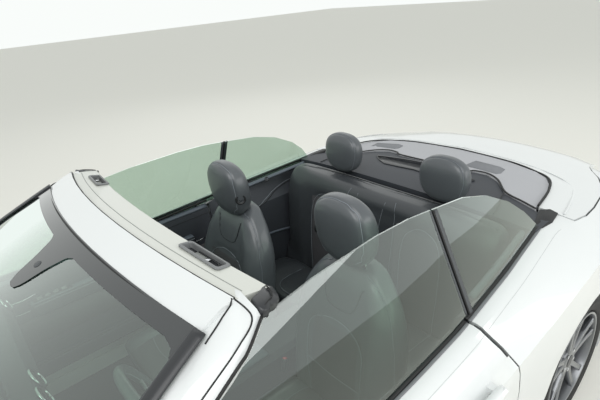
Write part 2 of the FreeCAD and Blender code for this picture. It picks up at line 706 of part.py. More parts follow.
def grille_bars():
    """The bars in the openings of the nose."""
    grids = []
    for low, high, top_half, low_half, front_y, rows, columns in GRILLES:
        wide = max(top_half, low_half)
        depth = (front_y, front_y + BAR_DEPTH)
        rise = (high - low) / (rows + 1)
        bars = [block((-wide, wide), depth, (low + rise * row - 4, low + rise * row + 4))
                for row in range(1, rows + 1)]
        for column in range(1, columns):
            x = -wide + 2 * wide * column / columns
            bars.append(block((x - 3, x + 3), depth, (low, high)))
        grids.append(bars[0].fuse(bars[1:]).common(grille_opening(low, high, top_half, low_half)))
    return grids


# Flat recesses for the number plates. Columns: the recess floor's y, the way out, low z, high z.
PLATES = {"front": (-2322.0, -1, 452.0, 548.0), "rear": (2316.0, 1, 458.0, 572.0)}
PLATE_HALF_WIDTH = 262.0
PLATE_HOLE_SPACING = 280.0
PLATE_HOLE_RADIUS = 2.5
PLATE_HOLE_DEPTH = 16.0


def plate_room(end):
    """The recess for a number plate with its two screw holes."""
    floor_y, out, low, high = PLATES[end]
    depth = sorted((floor_y, floor_y + out * 60))
    recess = block((-PLATE_HALF_WIDTH, PLATE_HALF_WIDTH), depth, (low, high))
    middle = (low + high) / 2
    holes = [pin((s * PLATE_HOLE_SPACING / 2, floor_y - out * PLATE_HOLE_DEPTH, middle), (0, out, 0),
                 PLATE_HOLE_RADIUS, PLATE_HOLE_DEPTH + 1) for s in (1, -1)]
    return recess.fuse(holes)


HEADLAMP = [(440, 640), (700, 606), (920, 640), (920, 722), (640, 708), (440, 696)]
TAIL_LAMP_X = LID_FACE_HALF_WIDTH + PANEL_GAP
TAIL_LAMP = [(TAIL_LAMP_X, 724), (TAIL_LAMP_X, 846), (TAIL_LAMP_X + 134, 842), (930, 812), (930, 752),
             (TAIL_LAMP_X + 154, 716)]


def headlamp_room():
    """The left headlamp's outline, pulled through the nose."""
    return front_prism(HEADLAMP, (-2400, -1975))


def tail_lamp_room():
    """The left rear lamp's outline, pulled through the tail."""
    return front_prism(TAIL_LAMP, (2040, 2400))


HANDLE_Y = (330.0, 496.0)
HANDLE_Z = (806.0, 840.0)


def door_parts(side, glass):
    """The left door: its shell with the mirror and the handle, and its inner trim."""
    shell = side.common(side_prism(DOOR_OUTLINE, (600, 960)))
    rear = [(y + 20, z) for y, z in DOOR_REAR[::-1]] + [(y - 9, z) for y, z in DOOR_REAR]
    shell = largest(shell.cut([side_prism(rear, (600, 872)), glass]))
    trim = front_prism([(800, 902), (738, 900), (728, 860), (728, 380), (800, 380)], (-780, 500))
    armrest = eased_block((ARMREST_X, 760), (-420, 380), (700, 772), 12)
    pocket = eased_block((702, 760), (-600, 250), (385, 470), 12)
    trim = largest(trim.fuse([armrest, pocket]).cut([shell, glass]))
    foot = front_prism([(840, 845), (890, 806), (935, 940), (905, 960)], (-690, -640))
    housing = eased_block((884, 1006), (-712, -622), (928, 1042), 30)
    grip = eased_block((911, 929), HANDLE_Y, HANDLE_Z, 7)
    posts = [block((870, 915), (y - 12, y + 12), (HANDLE_Z[0] + 7, HANDLE_Z[1] - 7))
             for y in (HANDLE_Y[0] + 22, HANDLE_Y[1] - 22)]
    return shell.fuse([foot, housing, grip, *posts]), trim


def side_trim(wall, glass):
    """The left inner trim beside the rear seat, clear of the wheel's lining."""
    outline = [(800, 962), (738, 966), (704, 900), (684, 850), (650, 822), (640, 640), (640, 332),
               (800, 332)]
    return largest(front_prism(outline, (668, 1136)).cut([wall, glass, rear_lining_room()]))


def rear_lining_room():
    """The room that the lining of the left rear wheel fills inside the cabin."""
    return wheelhouse(REAR_AXLE_Y, 464, ARCH_RADIUS + 12)


def dashboard():
    """The dashboard with the hood over the dials."""
    outline = [(-830, 880), (-700, 925), (-580, 926), (-510, 890), (-480, 820), (-520, 720), (-590, 630),
               (-830, 600)]
    shape = side_prism(outline, (-720, 720))
    hood = eased_block((210, 520), (-640, -488), (820, 972), 25)
    stack = block((-130, 130), (-600, -500), (480, 760))
    return shape.fuse([hood, stack])


WHEEL_CENTRE = at(SEAT_X, -262, 898)
WHEEL_SIDES = 24
GRIP_RADIUS = 172.0
COLUMN_LEAN = 25.0


def steering_wheel():
    """The steering wheel with its hub and three spokes."""
    across = [(GRIP_RADIUS + r, z) for r, z in ((-14, -8), (-14, 8), (0, 16), (14, 8), (14, -8), (0, -16))]
    sections = []
    for number in range(WHEEL_SIDES + 1):
        cosine, sine = degrees(360 * number / WHEEL_SIDES)
        sections.append([Vector(r * cosine, r * sine, z) for r, z in across])
    half = WHEEL_SIDES // 2
    rim_ring = faceted(sections[:half + 1]).fuse(faceted(sections[half:])).removeSplitter()
    pieces = [bar(Vector(0, 0, -40), Vector(0, 0, 6), 58, 18)]
    for angle in (0, 180, 270):
        spoke = box((30, 166), (-18, 18), (-16, 2))
        spoke.rotate(Vector(0, 0, 0), Vector(0, 0, 1), angle)
        pieces.append(spoke)
    shape = rim_ring.fuse(pieces)
    shape.rotate(Vector(0, 0, 0), Vector(1, 0, 0), -90 + COLUMN_LEAN)
    shape.translate(WHEEL_CENTRE)
    return shape


def steering_column():
    """The column from the dashboard to just short of the steering wheel's hub."""
    run, rise = degrees(COLUMN_LEAN)
    axis = Vector(0, -run, -rise)
    start = WHEEL_CENTRE + axis * 46
    return bar(start, start + axis * 230, 34)


# The front seat back and the rear backrest from the side, as (y, z).
SEAT_BACK = [(300, 400), (356, 420), (396, 900), (418, 1030), (450, 1052), (520, 1048), (540, 1020),
             (520, 700), (460, 380), (330, 350)]
REAR_BACK = [(905, 420), (956, 985), (985, 1002), (1130, 1002), (1136, 960), (1136, 330), (900, 330)]
# Headrests. Columns: y and z of the middle, width, depth, height.
DRIVER_REST = (440, 1165, 256, 126, 262)
PASSENGER_REST = (440, 1120, 256, 126, 262)
REAR_REST = (1118, 1108, 240, 104, 208)


def front_seat_parts():
    """The left front seat's base, cushion, back and headrest."""
    x = (SEAT_X - SEAT_WIDTH / 2, SEAT_X + SEAT_WIDTH / 2)
    runners = [block((SEAT_X + s * 190 - 20, SEAT_X + s * 190 + 20), (-120, 400), (215, 260))
               for s in (1, -1)]
    base = block((x[0] + 40, x[1] - 40), (-100, 380), (255, 340)).fuse(runners)
    cushion = eased_block((x[0] + 5, x[1] - 5), (-150, 360), (340, 500), 45)
    back = side_prism(SEAT_BACK, (x[0] + 8, x[1] - 8)).cut(cushion)
    stems = [rod((SEAT_X + s * 60, 470, 980), (SEAT_X + s * 60, 470, 1120), 7, 6) for s in (1, -1)]
    return base, cushion, back, stems


def headrest(x, y, z, width, depth, height):
    """A padded headrest centred on a point."""
    return eased_block((x - width / 2, x + width / 2), (y - depth / 2, y + depth / 2),
                       (z - height / 2, z + height / 2), 36)


def exhaust():
    """The pipe down the tunnel, the silencer and the tail pipes."""
    pipe = rod((0, -1205, 235), (0, 1910, 235), 28)
    silencer = eased_block((-470, 470), (1900, 2120), (185, 380), 30)
    tips = [rod((s * 400, 2060, 199), (s * 400, 2318, 199), 28) for s in (1, -1)]
    hangers = [block((-12, 12), (y, y + 30), (250, 296)) for y in (-300, 900)]
    hangers += [block((x - 12, x + 12), (2000, 2030), (370, 516)) for x in (-300, 300)]
    return pipe.fuse([silencer, *tips, *hangers])


def main():
    """Build every piece and write it."""
    os.makedirs(OUT, exist_ok=True)
    nose, tail, side = nose_wall(), tail_wall(), side_wall()
    deck = deck_sheet()
    front_arch = both(wheelhouse(FRONT_AXLE_Y, WHEELHOUSE_INNER_X))
    rear_arch = both(wheelhouse(REAR_AXLE_Y, WHEELHOUSE_INNER_X))
    half_gap = PANEL_GAP / 2

    screen = windscreen()
    glass_left, quarter_left = pane(DOOR_GLASS), pane(QUARTER_GLASS)
    glass_left = glass_left.cut(block((600, 960), (553, 700), (800, 942)))

    fender_front, fender_rear = FENDER_SEAM_Y + half_gap, DOOR_FRONT_Y - PANEL_GAP
    fender_outline = [(fender_front, 100), (fender_front, 1000), (fender_rear, 1000),
                      (fender_rear, DOOR_SILL_Z), (-1245, DOOR_SILL_Z), (-1300, 100)]
    fender = side.common(side_prism(fender_outline, (600, 960))).cut(front_arch[0])
    sill_top = DOOR_SILL_Z - PANEL_GAP
    sill_outline = [(-1300 - PANEL_GAP, 100), (-1245, sill_top), (970, sill_top), (970, 100)]
    sill = side.common(side_prism(sill_outline, (600, 960))).cut([front_arch[0], rear_arch[0]])
    lamp = headlamp_room()
    lamps = [nose.common(room) for room in both(lamp)]
    openings = [grille_opening(*row[:4]) for row in GRILLES]
    front = nose.common(block((-950, 950), (-2400, FENDER_SEAM_Y - half_gap), (100, 1000)))
    front = front.cut([*front_arch, *both(lamp), *openings, plate_room("front")])

    lid = boot_lid(deck, tail)
    first, *rest = [(x + PANEL_GAP, y) for x, y in LID_OUTER]
    lid_half = [(0, 1250), (first[0], first[1] - PANEL_GAP), *rest, (0, 2300)]
    lid_room = plan_prism(mirrored_outline(lid_half), (880, 1100))
    face_half = LID_FACE_HALF_WIDTH + PANEL_GAP
    face_room = block((-face_half, face_half), (2000, 2400), (640, 1100))
    rear_lamp = tail_lamp_room()
    rear_lamps = [tail.common(room) for room in both(rear_lamp)]
    low, lip, lip_half = BUMPER_TOP_Z - half_gap, LID_FACE_LOW_Z - PANEL_GAP, LID_FACE_HALF_WIDTH - 4
    bumper_region = front_prism([(-950, 100), (950, 100), (950, low), (lip_half, low), (lip_half, lip),
                                 (-lip_half, lip), (-lip_half, low), (-950, low)], (1560, 2400))
    rear = tail.common(bumper_region).cut([*rear_arch, plate_room("rear")])
    door_edge = [(y + PANEL_GAP, z) for y, z in DOOR_REAR]
    quarter_low, above = DOOR_SILL_Z - half_gap, BUMPER_TOP_Z + half_gap
    quarter_region = side_prism([(door_edge[0][0], quarter_low), *door_edge[1:], (1000, 1100), (2400, 1100),
                                 (2400, above), (1555, above), (1555, quarter_low)], (300, 960))
    rooms = [rear_arch[0], lid_room, face_room, rear_lamp, quarter_left]
    quarter = largest(tail.common(quarter_region).cut(rooms))

    hood = bonnet()
    walls = [*both(fender), *both(sill), *both(quarter), front, rear]
    rear_trim = side_trim(quarter, quarter_left)
    parcel = parcel_panel([*both(quarter), *both(quarter_left), *both(rear_trim)])
    landing = header_panel()
    frame = header(HEADER).fuse(both(pillar())).cut([screen, landing, *both(fender)])
    cowl = cowl_panel([screen, *both(fender), frame])
    shell = body_shell([*walls, frame, cowl, parcel])
    boot = boot_floor([*walls, shell])
    door, trim = door_parts(side, glass_left)
    cover = roof_cover(deck)

    save("body_shell", shell)
    save("boot_floor", boot)
    save("sills", *both(sill))
    save("front_fenders", *both(fender))
    save("quarter_panels", *both(quarter))
    save("front_bumper", front)
    save("rear_bumper", rear)
    save("grille", *grille_bars())
    save("headlamps", *lamps)
    save("tail_lamps", *rear_lamps)
    save("cowl_panel", cowl)
    save("windscreen_frame", frame)
    save("header_panel", landing)
    save("windscreen", screen)
    save("roof_cover", cover)
    save("parcel_panel", parcel)
    save("quarter_windows", *both(quarter_left))
    save("bonnet", hood)
    save("boot_lid", lid)
    for name, turn in (("left", lambda s: s), ("right", mirrored)):
        save("door_shell_" + name, turn(door))
        save("door_trim_" + name, turn(trim))
        save("door_glass_" + name, turn(glass_left))
        save("front_knuckle_" + name, turn(knuckle()))
        front_centre = (FRONT_WHEEL_X, FRONT_AXLE_Y, TYRE_RADIUS)
        rear_centre = (REAR_WHEEL_X, REAR_AXLE_Y, TYRE_RADIUS)
        save("front_tyre_" + name, turn(tyre(front_centre)))
        save("front_rim_" + name, turn(rim(front_centre)))
        save("rear_tyre_" + name, turn(tyre(rear_centre)))
        save("rear_rim_" + name, turn(rim(rear_centre)))

    dash = dashboard()
    column = steering_column().cut(dash)
    save("dashboard", dash)
    save("steering_column", column)
    save("steering_wheel", steering_wheel())
    console = eased_block((-CONSOLE_HALF_WIDTH, CONSOLE_HALF_WIDTH), (-500, 560), (330, 560), 20)
    save("centre_console", console.cut(dash))
    mat = block((TUNNEL_HALF_WIDTH, 779), (-830, 640), (200, 215))
    save("carpet", *both(mat.cut([shell, sill])))
    base, cushion, back, stems = front_seat_parts()
    save("seat_bases", *both(base))
    save("seat_cushions", *both(cushion))
    save("seat_backs", *both(back))
    stems = [stem.cut(back) for stem in stems]
    driver_rest = headrest(SEAT_X, *DRIVER_REST).cut(back).fuse(stems)
    passenger_rest = headrest(SEAT_X, *PASSENGER_REST).cut(back).fuse(stems)
    save("front_headrests", largest(driver_rest), largest(mirrored(passenger_rest)))
    lining_rooms = both(rear_lining_room())
    rear_cushion = eased_block((-630, 630), (590, 930), (330, 490), 40).cut(lining_rooms)
    rear_back = side_prism(REAR_BACK, (-634, 634)).cut([rear_cushion, *lining_rooms])
    save("rear_cushion", rear_cushion)
    save("rear_backrest", rear_back)
    rear_rest = headrest(REAR_SEAT_X, *REAR_REST)
    rear_stems = [rod((x, 1100, 970), (x, 1100, 1060), 7, 6).cut(rear_back)
                  for x in (REAR_SEAT_X - 50, REAR_SEAT_X + 50)]
    save("rear_headrests", *both(rear_rest.fuse(rear_stems)))
    save("side_trims", *both(rear_trim))
    save("engine_block", block((-280, 280), (-1850, -1205), (230, 735)))
    save("exhaust", exhaust())
    save("front_subframe", front_subframe())
    save("rear_axle", rear_axle())
    mirror = eased_block((-120, 120), (-250, -226), (1212, 1272), 10)
    mirror_stem = rod((0, -236, 1262), (0, -236, 1315), 8, 6).cut([frame, screen])
    save("cabin_mirror", largest(mirror.fuse(mirror_stem)))


if __name__ == "__main__":
    main()
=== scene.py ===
"""Looks of the open convertible car: finishes, soft goods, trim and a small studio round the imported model."""
import json
import logging
import math
from collections.abc import Callable
from dataclasses import dataclass, field
from enum import Enum

import bmesh
import bpy
from bpy.types import Material, Mesh, Node, NodeSocket, NodeTree, Object
from mathutils import Matrix, Vector
from mathutils.bvhtree import BVHTree
from mathutils.kdtree import KDTree


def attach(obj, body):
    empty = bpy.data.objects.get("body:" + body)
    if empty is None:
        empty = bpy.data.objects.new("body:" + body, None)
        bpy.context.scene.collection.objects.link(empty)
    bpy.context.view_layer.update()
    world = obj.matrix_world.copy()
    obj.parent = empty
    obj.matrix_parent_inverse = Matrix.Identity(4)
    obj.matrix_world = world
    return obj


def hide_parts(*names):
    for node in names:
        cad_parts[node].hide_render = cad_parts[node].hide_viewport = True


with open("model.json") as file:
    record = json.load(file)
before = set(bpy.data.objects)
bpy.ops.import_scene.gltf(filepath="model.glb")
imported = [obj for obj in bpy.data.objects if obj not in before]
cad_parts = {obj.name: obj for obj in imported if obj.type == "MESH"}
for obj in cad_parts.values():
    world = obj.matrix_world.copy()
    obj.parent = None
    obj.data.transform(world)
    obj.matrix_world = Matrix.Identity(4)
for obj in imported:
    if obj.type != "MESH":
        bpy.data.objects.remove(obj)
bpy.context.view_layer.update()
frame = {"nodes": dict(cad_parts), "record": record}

logging.basicConfig(level=logging.INFO, format="%(message)s")
log = logging.getLogger("scene")

MM = 0.001
ACROSS, ALONG, UP, DOWN = Vector((1, 0, 0)), Vector((0, 1, 0)), Vector((0, 0, 1)), Vector((0, 0, -1))
SLANT = Vector((-0.45, 0, -0.9)).normalized()
CAR, DOOR = "car_body", "{side}_door"

Point = tuple[float, float, float]
Line = list[Point] | tuple[Point, ...]
Outline = list[tuple[float, float]]
Form = tuple[list[Vector], list[tuple[int, ...]]]


def linear(colour: str) -> tuple[float, float, float, float]:
    """Turn an sRGB hex colour into linear values.

    Args:
        colour: The colour, such as "#E8EAE9".

    Returns:
        Linear red, green and blue, and an alpha of 1.
    """
    channels = [int(colour[i:i + 2], 16) / 255 for i in (1, 3, 5)]
    red, green, blue = [c / 12.92 if c <= 0.04045 else ((c + 0.055) / 1.055) ** 2.4 for c in channels]
    return red, green, blue, 1.0


def add_node(tree: NodeTree, kind: str, *inputs: object, **values: object) -> Node:
    """Add a shader node with its settings and links.

    Args:
        tree: The material's node tree.
        kind: The node's type name without the ShaderNode prefix.
        *inputs: Values or sockets for its first inputs, in order.
        **values: Properties of the node, or inputs with spaces written as underscores.

    Returns:
        The new node.
    """
    node = tree.nodes.new("ShaderNode" + kind)
    sockets = list(enumerate(inputs))
    for key, value in values.items():
        if hasattr(node, key):
            setattr(node, key, value)
        else:
            sockets.append((key.replace("_", " "), value))
    for name, value in sockets:
        if isinstance(value, NodeSocket):
            tree.links.new(value, node.inputs[name])
        else:
            node.inputs[name].default_value = value
    return node


class Pattern(Enum):
    """What gives a surface its fine relief."""

    NONE = "none"
    GRAIN = "grain"
    HIDE = "hide"
    LOOP = "loop"
    BRUSHED = "brushed"
    CAST = "cast"


@dataclass(frozen=True)
class Finish:
    """One procedural surface.

    Attributes:
        name: The real material's name.
        colour: sRGB hex colour.
        roughness: Surface roughness.
        metallic: 1 for bare metal.
        coat: Strength of a clear coat.
        pattern: The kind of relief.
        size: The relief's size in millimetres.
        depth: The relief's height in millimetres.
        spread: How far the colour wanders, as a share.
        sheen: Strength of a fibre sheen.
    """

    name: str
    colour: str
    roughness: float = 0.5
    metallic: float = 0.0
    coat: float = 0.0
    pattern: Pattern = Pattern.NONE
    size: float = 2.0
    depth: float = 0.1
    spread: float = 0.0
    sheen: float = 0.0

    ALPHA = 1.0

    def build(self) -> Material:
        """Make the material, or return it if it is there.

        Returns:
            The material.
        """
        material = bpy.data.materials.get(self.name)
        if material is None:
            material = bpy.data.materials.new(self.name)
            material.use_nodes = True
            material.diffuse_color = linear(self.colour)[:3] + (self.ALPHA,)
            tree = material.node_tree
            tree.nodes.clear()
            add_node(tree, "OutputMaterial", self.shader(tree))
        return material

    def shader(self, tree: NodeTree) -> NodeSocket:
        """Wire the surface, whose colour may drift a little and whose relief is a bump.

        Args:
            tree: The material's node tree.

        Returns:
            The surface's socket.
        """
        base = linear(self.colour)
        shader = add_node(tree, "BsdfPrincipled", Base_Color=base, Roughness=self.roughness,
                          Metallic=self.metallic,
                          Coat_Weight=self.coat, Coat_Roughness=0.03, Sheen_Weight=self.sheen)
        place = add_node(tree, "TexCoord").outputs["Object"]
        if self.spread:
            noise = add_node(tree, "TexNoise", Vector=place, Scale=9.0, Detail=3.0)
            mix = add_node(tree, "Mix", noise.outputs["Fac"], data_type="RGBA")
            mix.inputs[6].default_value = tuple(c * (1 - self.spread) for c in base[:3]) + (1.0,)
            mix.inputs[7].default_value = base
            tree.links.new(mix.outputs[2], shader.inputs["Base Color"])
        if self.pattern is not Pattern.NONE:
            tree.links.new(self.relief(tree, place), shader.inputs["Normal"])
        return shader.outputs["BSDF"]

    def relief(self, tree: NodeTree, place: NodeSocket) -> NodeSocket:
        """Wire the surface's relief.

        Args:
            tree: The material's node tree.
            place: The position to read the pattern at.

        Returns:
            The socket of the bumped normal.
        """
        scale = 1.0 / (self.size * MM)
        if self.pattern in (Pattern.HIDE, Pattern.LOOP):
            # Leather's cells are joined by fine valleys, and loops stand apart.
            feature = "SMOOTH_F1" if self.pattern is Pattern.HIDE else "F1"
            height = add_node(tree, "TexVoronoi", Vector=place, Scale=scale,
                              feature=feature).outputs["Distance"]
        else:
            detail = {Pattern.CAST: 6.0, Pattern.BRUSHED: 2.0}.get(self.pattern, 1.0)
            if self.pattern is Pattern.BRUSHED:
                # Fine lines that run along one way.
                place = add_node(tree, "Mapping", Vector=place, Scale=(1.0, 0.02, 1.0)).outputs[0]
            height = add_node(tree, "TexNoise", Vector=place, Scale=scale, Detail=detail).outputs["Fac"]
        return add_node(tree, "Bump", Height=height, Distance=self.depth * MM, Strength=1.0).outputs["Normal"]


@dataclass(frozen=True)
class GlassFinish(Finish):
    """Thin clear or tinted glass, with the colour of what is seen through it.

    Attributes:
        roughness: How rough its reflection is.
        faces: How many faces mirror.
    """

    roughness: float = 0.0
    faces: float = 4.5

    ALPHA = 0.4

    def shader(self, tree: NodeTree) -> NodeSocket:
        """Wire the glass.

        Args:
            tree: The material's node tree.

        Returns:
            The surface's socket.
        """
        through = add_node(tree, "BsdfTransparent", Color=linear(self.colour)).outputs[0]
        mirror = add_node(tree, "BsdfGlossy", Color=(0.9, 0.95, 0.93, 1), Roughness=self.roughness).outputs[0]
        # A pane mirrors more at a glancing angle, and only on the side that the light comes from.
        edge = add_node(tree, "Fresnel", IOR=1.45).outputs[0]
        glance = add_node(tree, "Math", edge, self.faces, operation="MULTIPLY", use_clamp=True).outputs[0]
        back = add_node(tree, "NewGeometry").outputs["Backfacing"]
        front = add_node(tree, "Math", 1.0, back, operation="SUBTRACT").outputs[0]
        share = add_node(tree, "Math", glance, front, operation="MULTIPLY").outputs[0]
        # Light that falls through onto other surfaces only takes the tint.
        path = add_node(tree, "LightPath").outputs
        falls = add_node(tree, "Math", path["Is Shadow Ray"], path["Is Diffuse Ray"],
                         operation="MAXIMUM").outputs[0]
        seen = add_node(tree, "Math", 1.0, falls, operation="SUBTRACT").outputs[0]
        kept = add_node(tree, "Math", share, seen, operation="MULTIPLY").outputs[0]
        return add_node(tree, "MixShader", kept, through, mirror).outputs[0]


# Moulded grain, hide and cast skin are finer than 1 mm on the real car. They are drawn at 1 to 6 mm, so that they show.
# White enamel under clear lacquer: bright and even, with sharp highlights on the creases.
WHITE_PAINT = Finish("white_clearcoat_paint", "#DDE0E0", 0.32, coat=0.9, spread=0.01)
# Enamel on an inner panel: warmer and flatter than the outside.
HEADER_PAINT = Finish("warm_white_panel_paint", "#C9CBC4", 0.4, coat=0.4, spread=0.01)
# Sprayed wax and stone guard: nearly black, dull and lumpy.
UNDERBODY = Finish("black_underbody_coating", "#1A1B1D", 0.8, pattern=Pattern.CAST, size=6, depth=0.5)
# Moulded ABS with a fine grain: black with a wide soft sheen.
BLACK_PLASTIC = Finish("black_grained_plastic", "#17181A", 0.55, pattern=Pattern.GRAIN, size=1.2)
# Foamed vinyl skin: dark, matt and slightly bluish.
SOFT_TRIM = Finish("charcoal_soft_trim", "#34373D", 0.6, pattern=Pattern.HIDE, size=1.4, depth=0.08)
# Textured cover board: mid grey that holds no highlight.
COVER_GREY = Finish("grey_textured_cover", "#AEAFB3", 0.62, pattern=Pattern.GRAIN, size=1.8, depth=0.2, spread=0.05)
# Finished leather: dark grey with a soft gloss on every roll.
LEATHER = Finish("grained_charcoal_leather", "#53575B", 0.38, coat=0.3, pattern=Pattern.HIDE, size=2.4,
                 depth=0.2, spread=0.12)
# The same leather where the cabin shades it: darker and flatter.
BENCH_LEATHER = Finish("shaded_charcoal_leather", "#383B3F", 0.46, coat=0.2, pattern=Pattern.HIDE, size=2.4,
                       depth=0.35, spread=0.06)
# Looped pile: black, with a faint fibre glow at the edges.
CARPET = Finish("charcoal_loop_carpet", "#1E1F22", 0.95, pattern=Pattern.LOOP, size=3, depth=1.5, sheen=0.3)
# Moulded rubber: a dusty black that is never shiny.
TYRE_RUBBER = Finish("tyre_rubber", "#161617", 0.72, pattern=Pattern.GRAIN, size=2, spread=0.2)
# Cast alloy under silver lacquer: a soft metallic grey.
RIM_SILVER = Finish("silver_painted_alloy", "#7B7D80", 0.34, metallic=0.8, coat=0.4, spread=0.03)
# Sand-cast iron: rough, grey and dull.
CAST_IRON = Finish("raw_cast_iron", "#5B5A58", 0.7, metallic=0.8, pattern=Pattern.CAST, size=4, depth=0.3)
# Turned steel: bright, with fine lines that stretch its highlights.
STEEL = Finish("brushed_steel", "#8E9092", 0.38, metallic=1.0, pattern=Pattern.BRUSHED, size=1, depth=0.05)
# Die-cast alloy: a pale metal with a grainy skin.
CAST_ALLOY = Finish("cast_alloy", "#77787A", 0.6, metallic=0.7, pattern=Pattern.CAST, size=3, depth=0.3)
# Tempered glass: pale green through it, and a mirror at a glancing angle.
GREEN_GLASS = GlassFinish("green_tinted_glass", "#E6F2EA")
# Hard-coated polycarbonate: clear with a sharp reflection.
LAMP_CLEAR = GlassFinish("clear_lamp_cover", "#E6EAEC")
# Moulded acrylic: deep red and wet-looking.
LAMP_RED = Finish("red_lamp_cover", "#7E0B10", 0.12, coat=1.0)

# Punched leather: duller than the plain hide, with a fine even dotting.
INSERT_LEATHER = Finish("perforated_leather", "#4C4B4E", 0.55, pattern=Pattern.LOOP, size=3.4, depth=0.4, spread=0.1)
# Bonded nylon: light grey and matt.
THREAD = Finish("grey_sewing_thread", "#82878E", 0.7, pattern=Pattern.GRAIN, size=1)
# Folded leather cord: a light and a black one, with a soft sheen.
PIPING = Finish("leather_piping", "#6A6E75", 0.5, pattern=Pattern.HIDE, size=2)
DARK_PIPING = Finish("black_leather_piping", "#0E0F11", 0.6, pattern=Pattern.HIDE, size=2)
# Chromium plate: a mirror with a slightly soft edge.
CHROME = Finish("polished_chrome", "#C9CBCE", 0.1, metallic=1.0, spread=0.02)
# Extruded rubber: black and soft.
RUBBER = Finish("black_rubber_seal", "#0D0E0F", 0.6, pattern=Pattern.GRAIN, size=2, spread=0.15)
# Painted trim: black with a low gloss.
SATIN_BLACK = Finish("satin_black_trim", "#202226", 0.4, coat=0.2, spread=0.08)
# Extruded vinyl mouldings, from dark to light grey, with a dull sheen.
GREY_STRIP = Finish("dark_grey_moulding", "#45484B", 0.45, pattern=Pattern.GRAIN, size=1.5)
BELT_GREY = Finish("grey_belt_moulding", "#6D7072", 0.45, pattern=Pattern.GRAIN, size=1.5)
# A flat grey bead: painted shade along the landing panel's step, and a small grey step in each latch pocket.
STEP_GREY = Finish("grey_sealer", "#8C8F8C", 0.6, pattern=Pattern.GRAIN, size=2)
# Moulded nylon: a flat mid grey.
LATCH_GREY = Finish("grey_moulded_plastic", "#77797A", 0.5, pattern=Pattern.GRAIN, size=1.2)
# Woven mesh over foam: grey with a fine dark weave.
INLAY_GREY = Finish("dark_grey_mesh_inlay", "#7C7E82", 0.75, pattern=Pattern.LOOP, size=3, depth=0.6)
# Foam seal deep in a gap: dark grey that stays flat.
GAP_SEAL = Finish("grey_gap_seal", "#3C3E40", 0.7, pattern=Pattern.GRAIN, size=2, spread=0.1)
# Painted shade: the white enamel where a roll turns under, drawn as a soft grey line.
ROLL_SHADE_LINE = Finish("white_paint_in_shade", "#B4B8B8", 0.4, coat=0.5)
# Padded vinyl on the upper trims: a lighter blue-grey.
DOOR_TOP = Finish("blue_grey_soft_trim", "#5A616B", 0.5, pattern=Pattern.HIDE, size=1.6, spread=0.08)
# Moulded acrylic light strips: clean saturated colours under a gloss.
LAMP_WHITE = Finish("white_lamp_strip", "#EDF0F1", 0.2, coat=0.8)
LAMP_BRIGHT = Finish("bright_red_lamp_strip", "#B81820", 0.15, coat=1.0)
AMBER = Finish("amber_lamp_strip", "#C9701A", 0.2, coat=0.8)
# Silvered glass: a sharp bright mirror.
MIRROR = Finish("silvered_mirror_glass", "#DFE4E6", 0.02, metallic=1.0)
# Fired enamel behind glass: black and glossy.
GLASS_PRINT = Finish("black_printed_glass", "#2E3133", 0.08, coat=1.0, spread=0.05)

SLOT_FINISHES = {
    "body_paint": WHITE_PAINT, "header_paint": HEADER_PAINT, "underbody": UNDERBODY, "glass_green": GREEN_GLASS,
    "lamp_clear": LAMP_CLEAR, "lamp_red": LAMP_RED, "black_plastic": BLACK_PLASTIC, "grey_cover": COVER_GREY,
    "charcoal_leather": LEATHER, "soft_trim": SOFT_TRIM, "carpet": CARPET, "tyre": TYRE_RUBBER,
    "rim_silver": RIM_SILVER, "cast_iron": CAST_IRON, "steel": STEEL, "engine": CAST_ALLOY,
}


class Side(Enum):
    """A side of the car, as the sign of x."""

    LEFT = 1
    RIGHT = -1

    @property
    def word(self) -> str:
        """The side as it is written in node and body names."""
        return self.name.lower()


def spline(rows: list[tuple[float, ...]], steps: int) -> list[tuple[float, ...]]:
    """Rows of numbers along a smooth line through the given ones.

    Args:
        rows: The rows, all of one length.
        steps: How many pieces each run is divided into.

    Returns:
        The finer rows.
    """
    found, last = [], len(rows) - 1
    for i in range(last):
        four = rows[max(i - 1, 0)], rows[i], rows[i + 1], rows[min(i + 2, last)]
        for step in range(steps):
            t = step / steps
            found.append(tuple(0.5 * (2 * b + (c - a) * t + (2 * a - 5 * b + 4 * c - d) * t ** 2
                                      + (3 * b - a - 3 * c + d) * t ** 3) for a, b, c, d in zip(*four)))
    return found + [tuple(rows[last])]


def flow(points: Line, steps: int = 6) -> list[Vector]:
    """Points along a smooth line through the given ones."""
    return [Vector(p) for p in spline(points, steps)]


def table(rows: Outline, value: float, eased: bool = True) -> float:
    """Read a table of (place, value) rows between its rows.

    Args:
        rows: The table, with rising places.
        value: The place to read at.
        eased: Whether it is read along a smooth curve, and not along straight lines.

    Returns:
        The value there, held at the table's ends.
    """
    for (x0, y0), (x1, y1) in zip(rows, rows[1:]):
        if value <= x1:
            t = max(value - x0, 0.0) / (x1 - x0)
            return y0 + (y1 - y0) * (t * t * (3 - 2 * t) if eased else t)
    return rows[-1][1]


def angles(count: int) -> list[float]:
    """Angles round a full turn, in radians."""
    return [math.tau * i / count for i in range(count)]


def make_piece(name: str, points: list[Vector], faces: list[tuple[int, ...]], finish: Finish, body: str = CAR,
               side: Side = Side.LEFT, smooth: bool = True) -> Object:
    """Make a piece from its points in millimetres.

    Args:
        name: The piece's name.
        points: Its points as they lie on the left side.
        faces: Its faces.
        finish: Its surface.
        body: The body it rides on.
        side: The side it stands on.
        smooth: Whether it is shaded smooth.

    Returns:
        The new object.
    """
    mesh = bpy.data.meshes.new(name)
    turned = faces if side is Side.LEFT else [tuple(reversed(f)) for f in faces]
    mesh.from_pydata([(p[0] * side.value * MM, p[1] * MM, p[2] * MM) for p in points], [], turned)
    mesh.validate()
    mesh.materials.append(finish.build())
    for polygon in mesh.polygons:
        polygon.use_smooth = smooth
    return added(name, mesh, body)


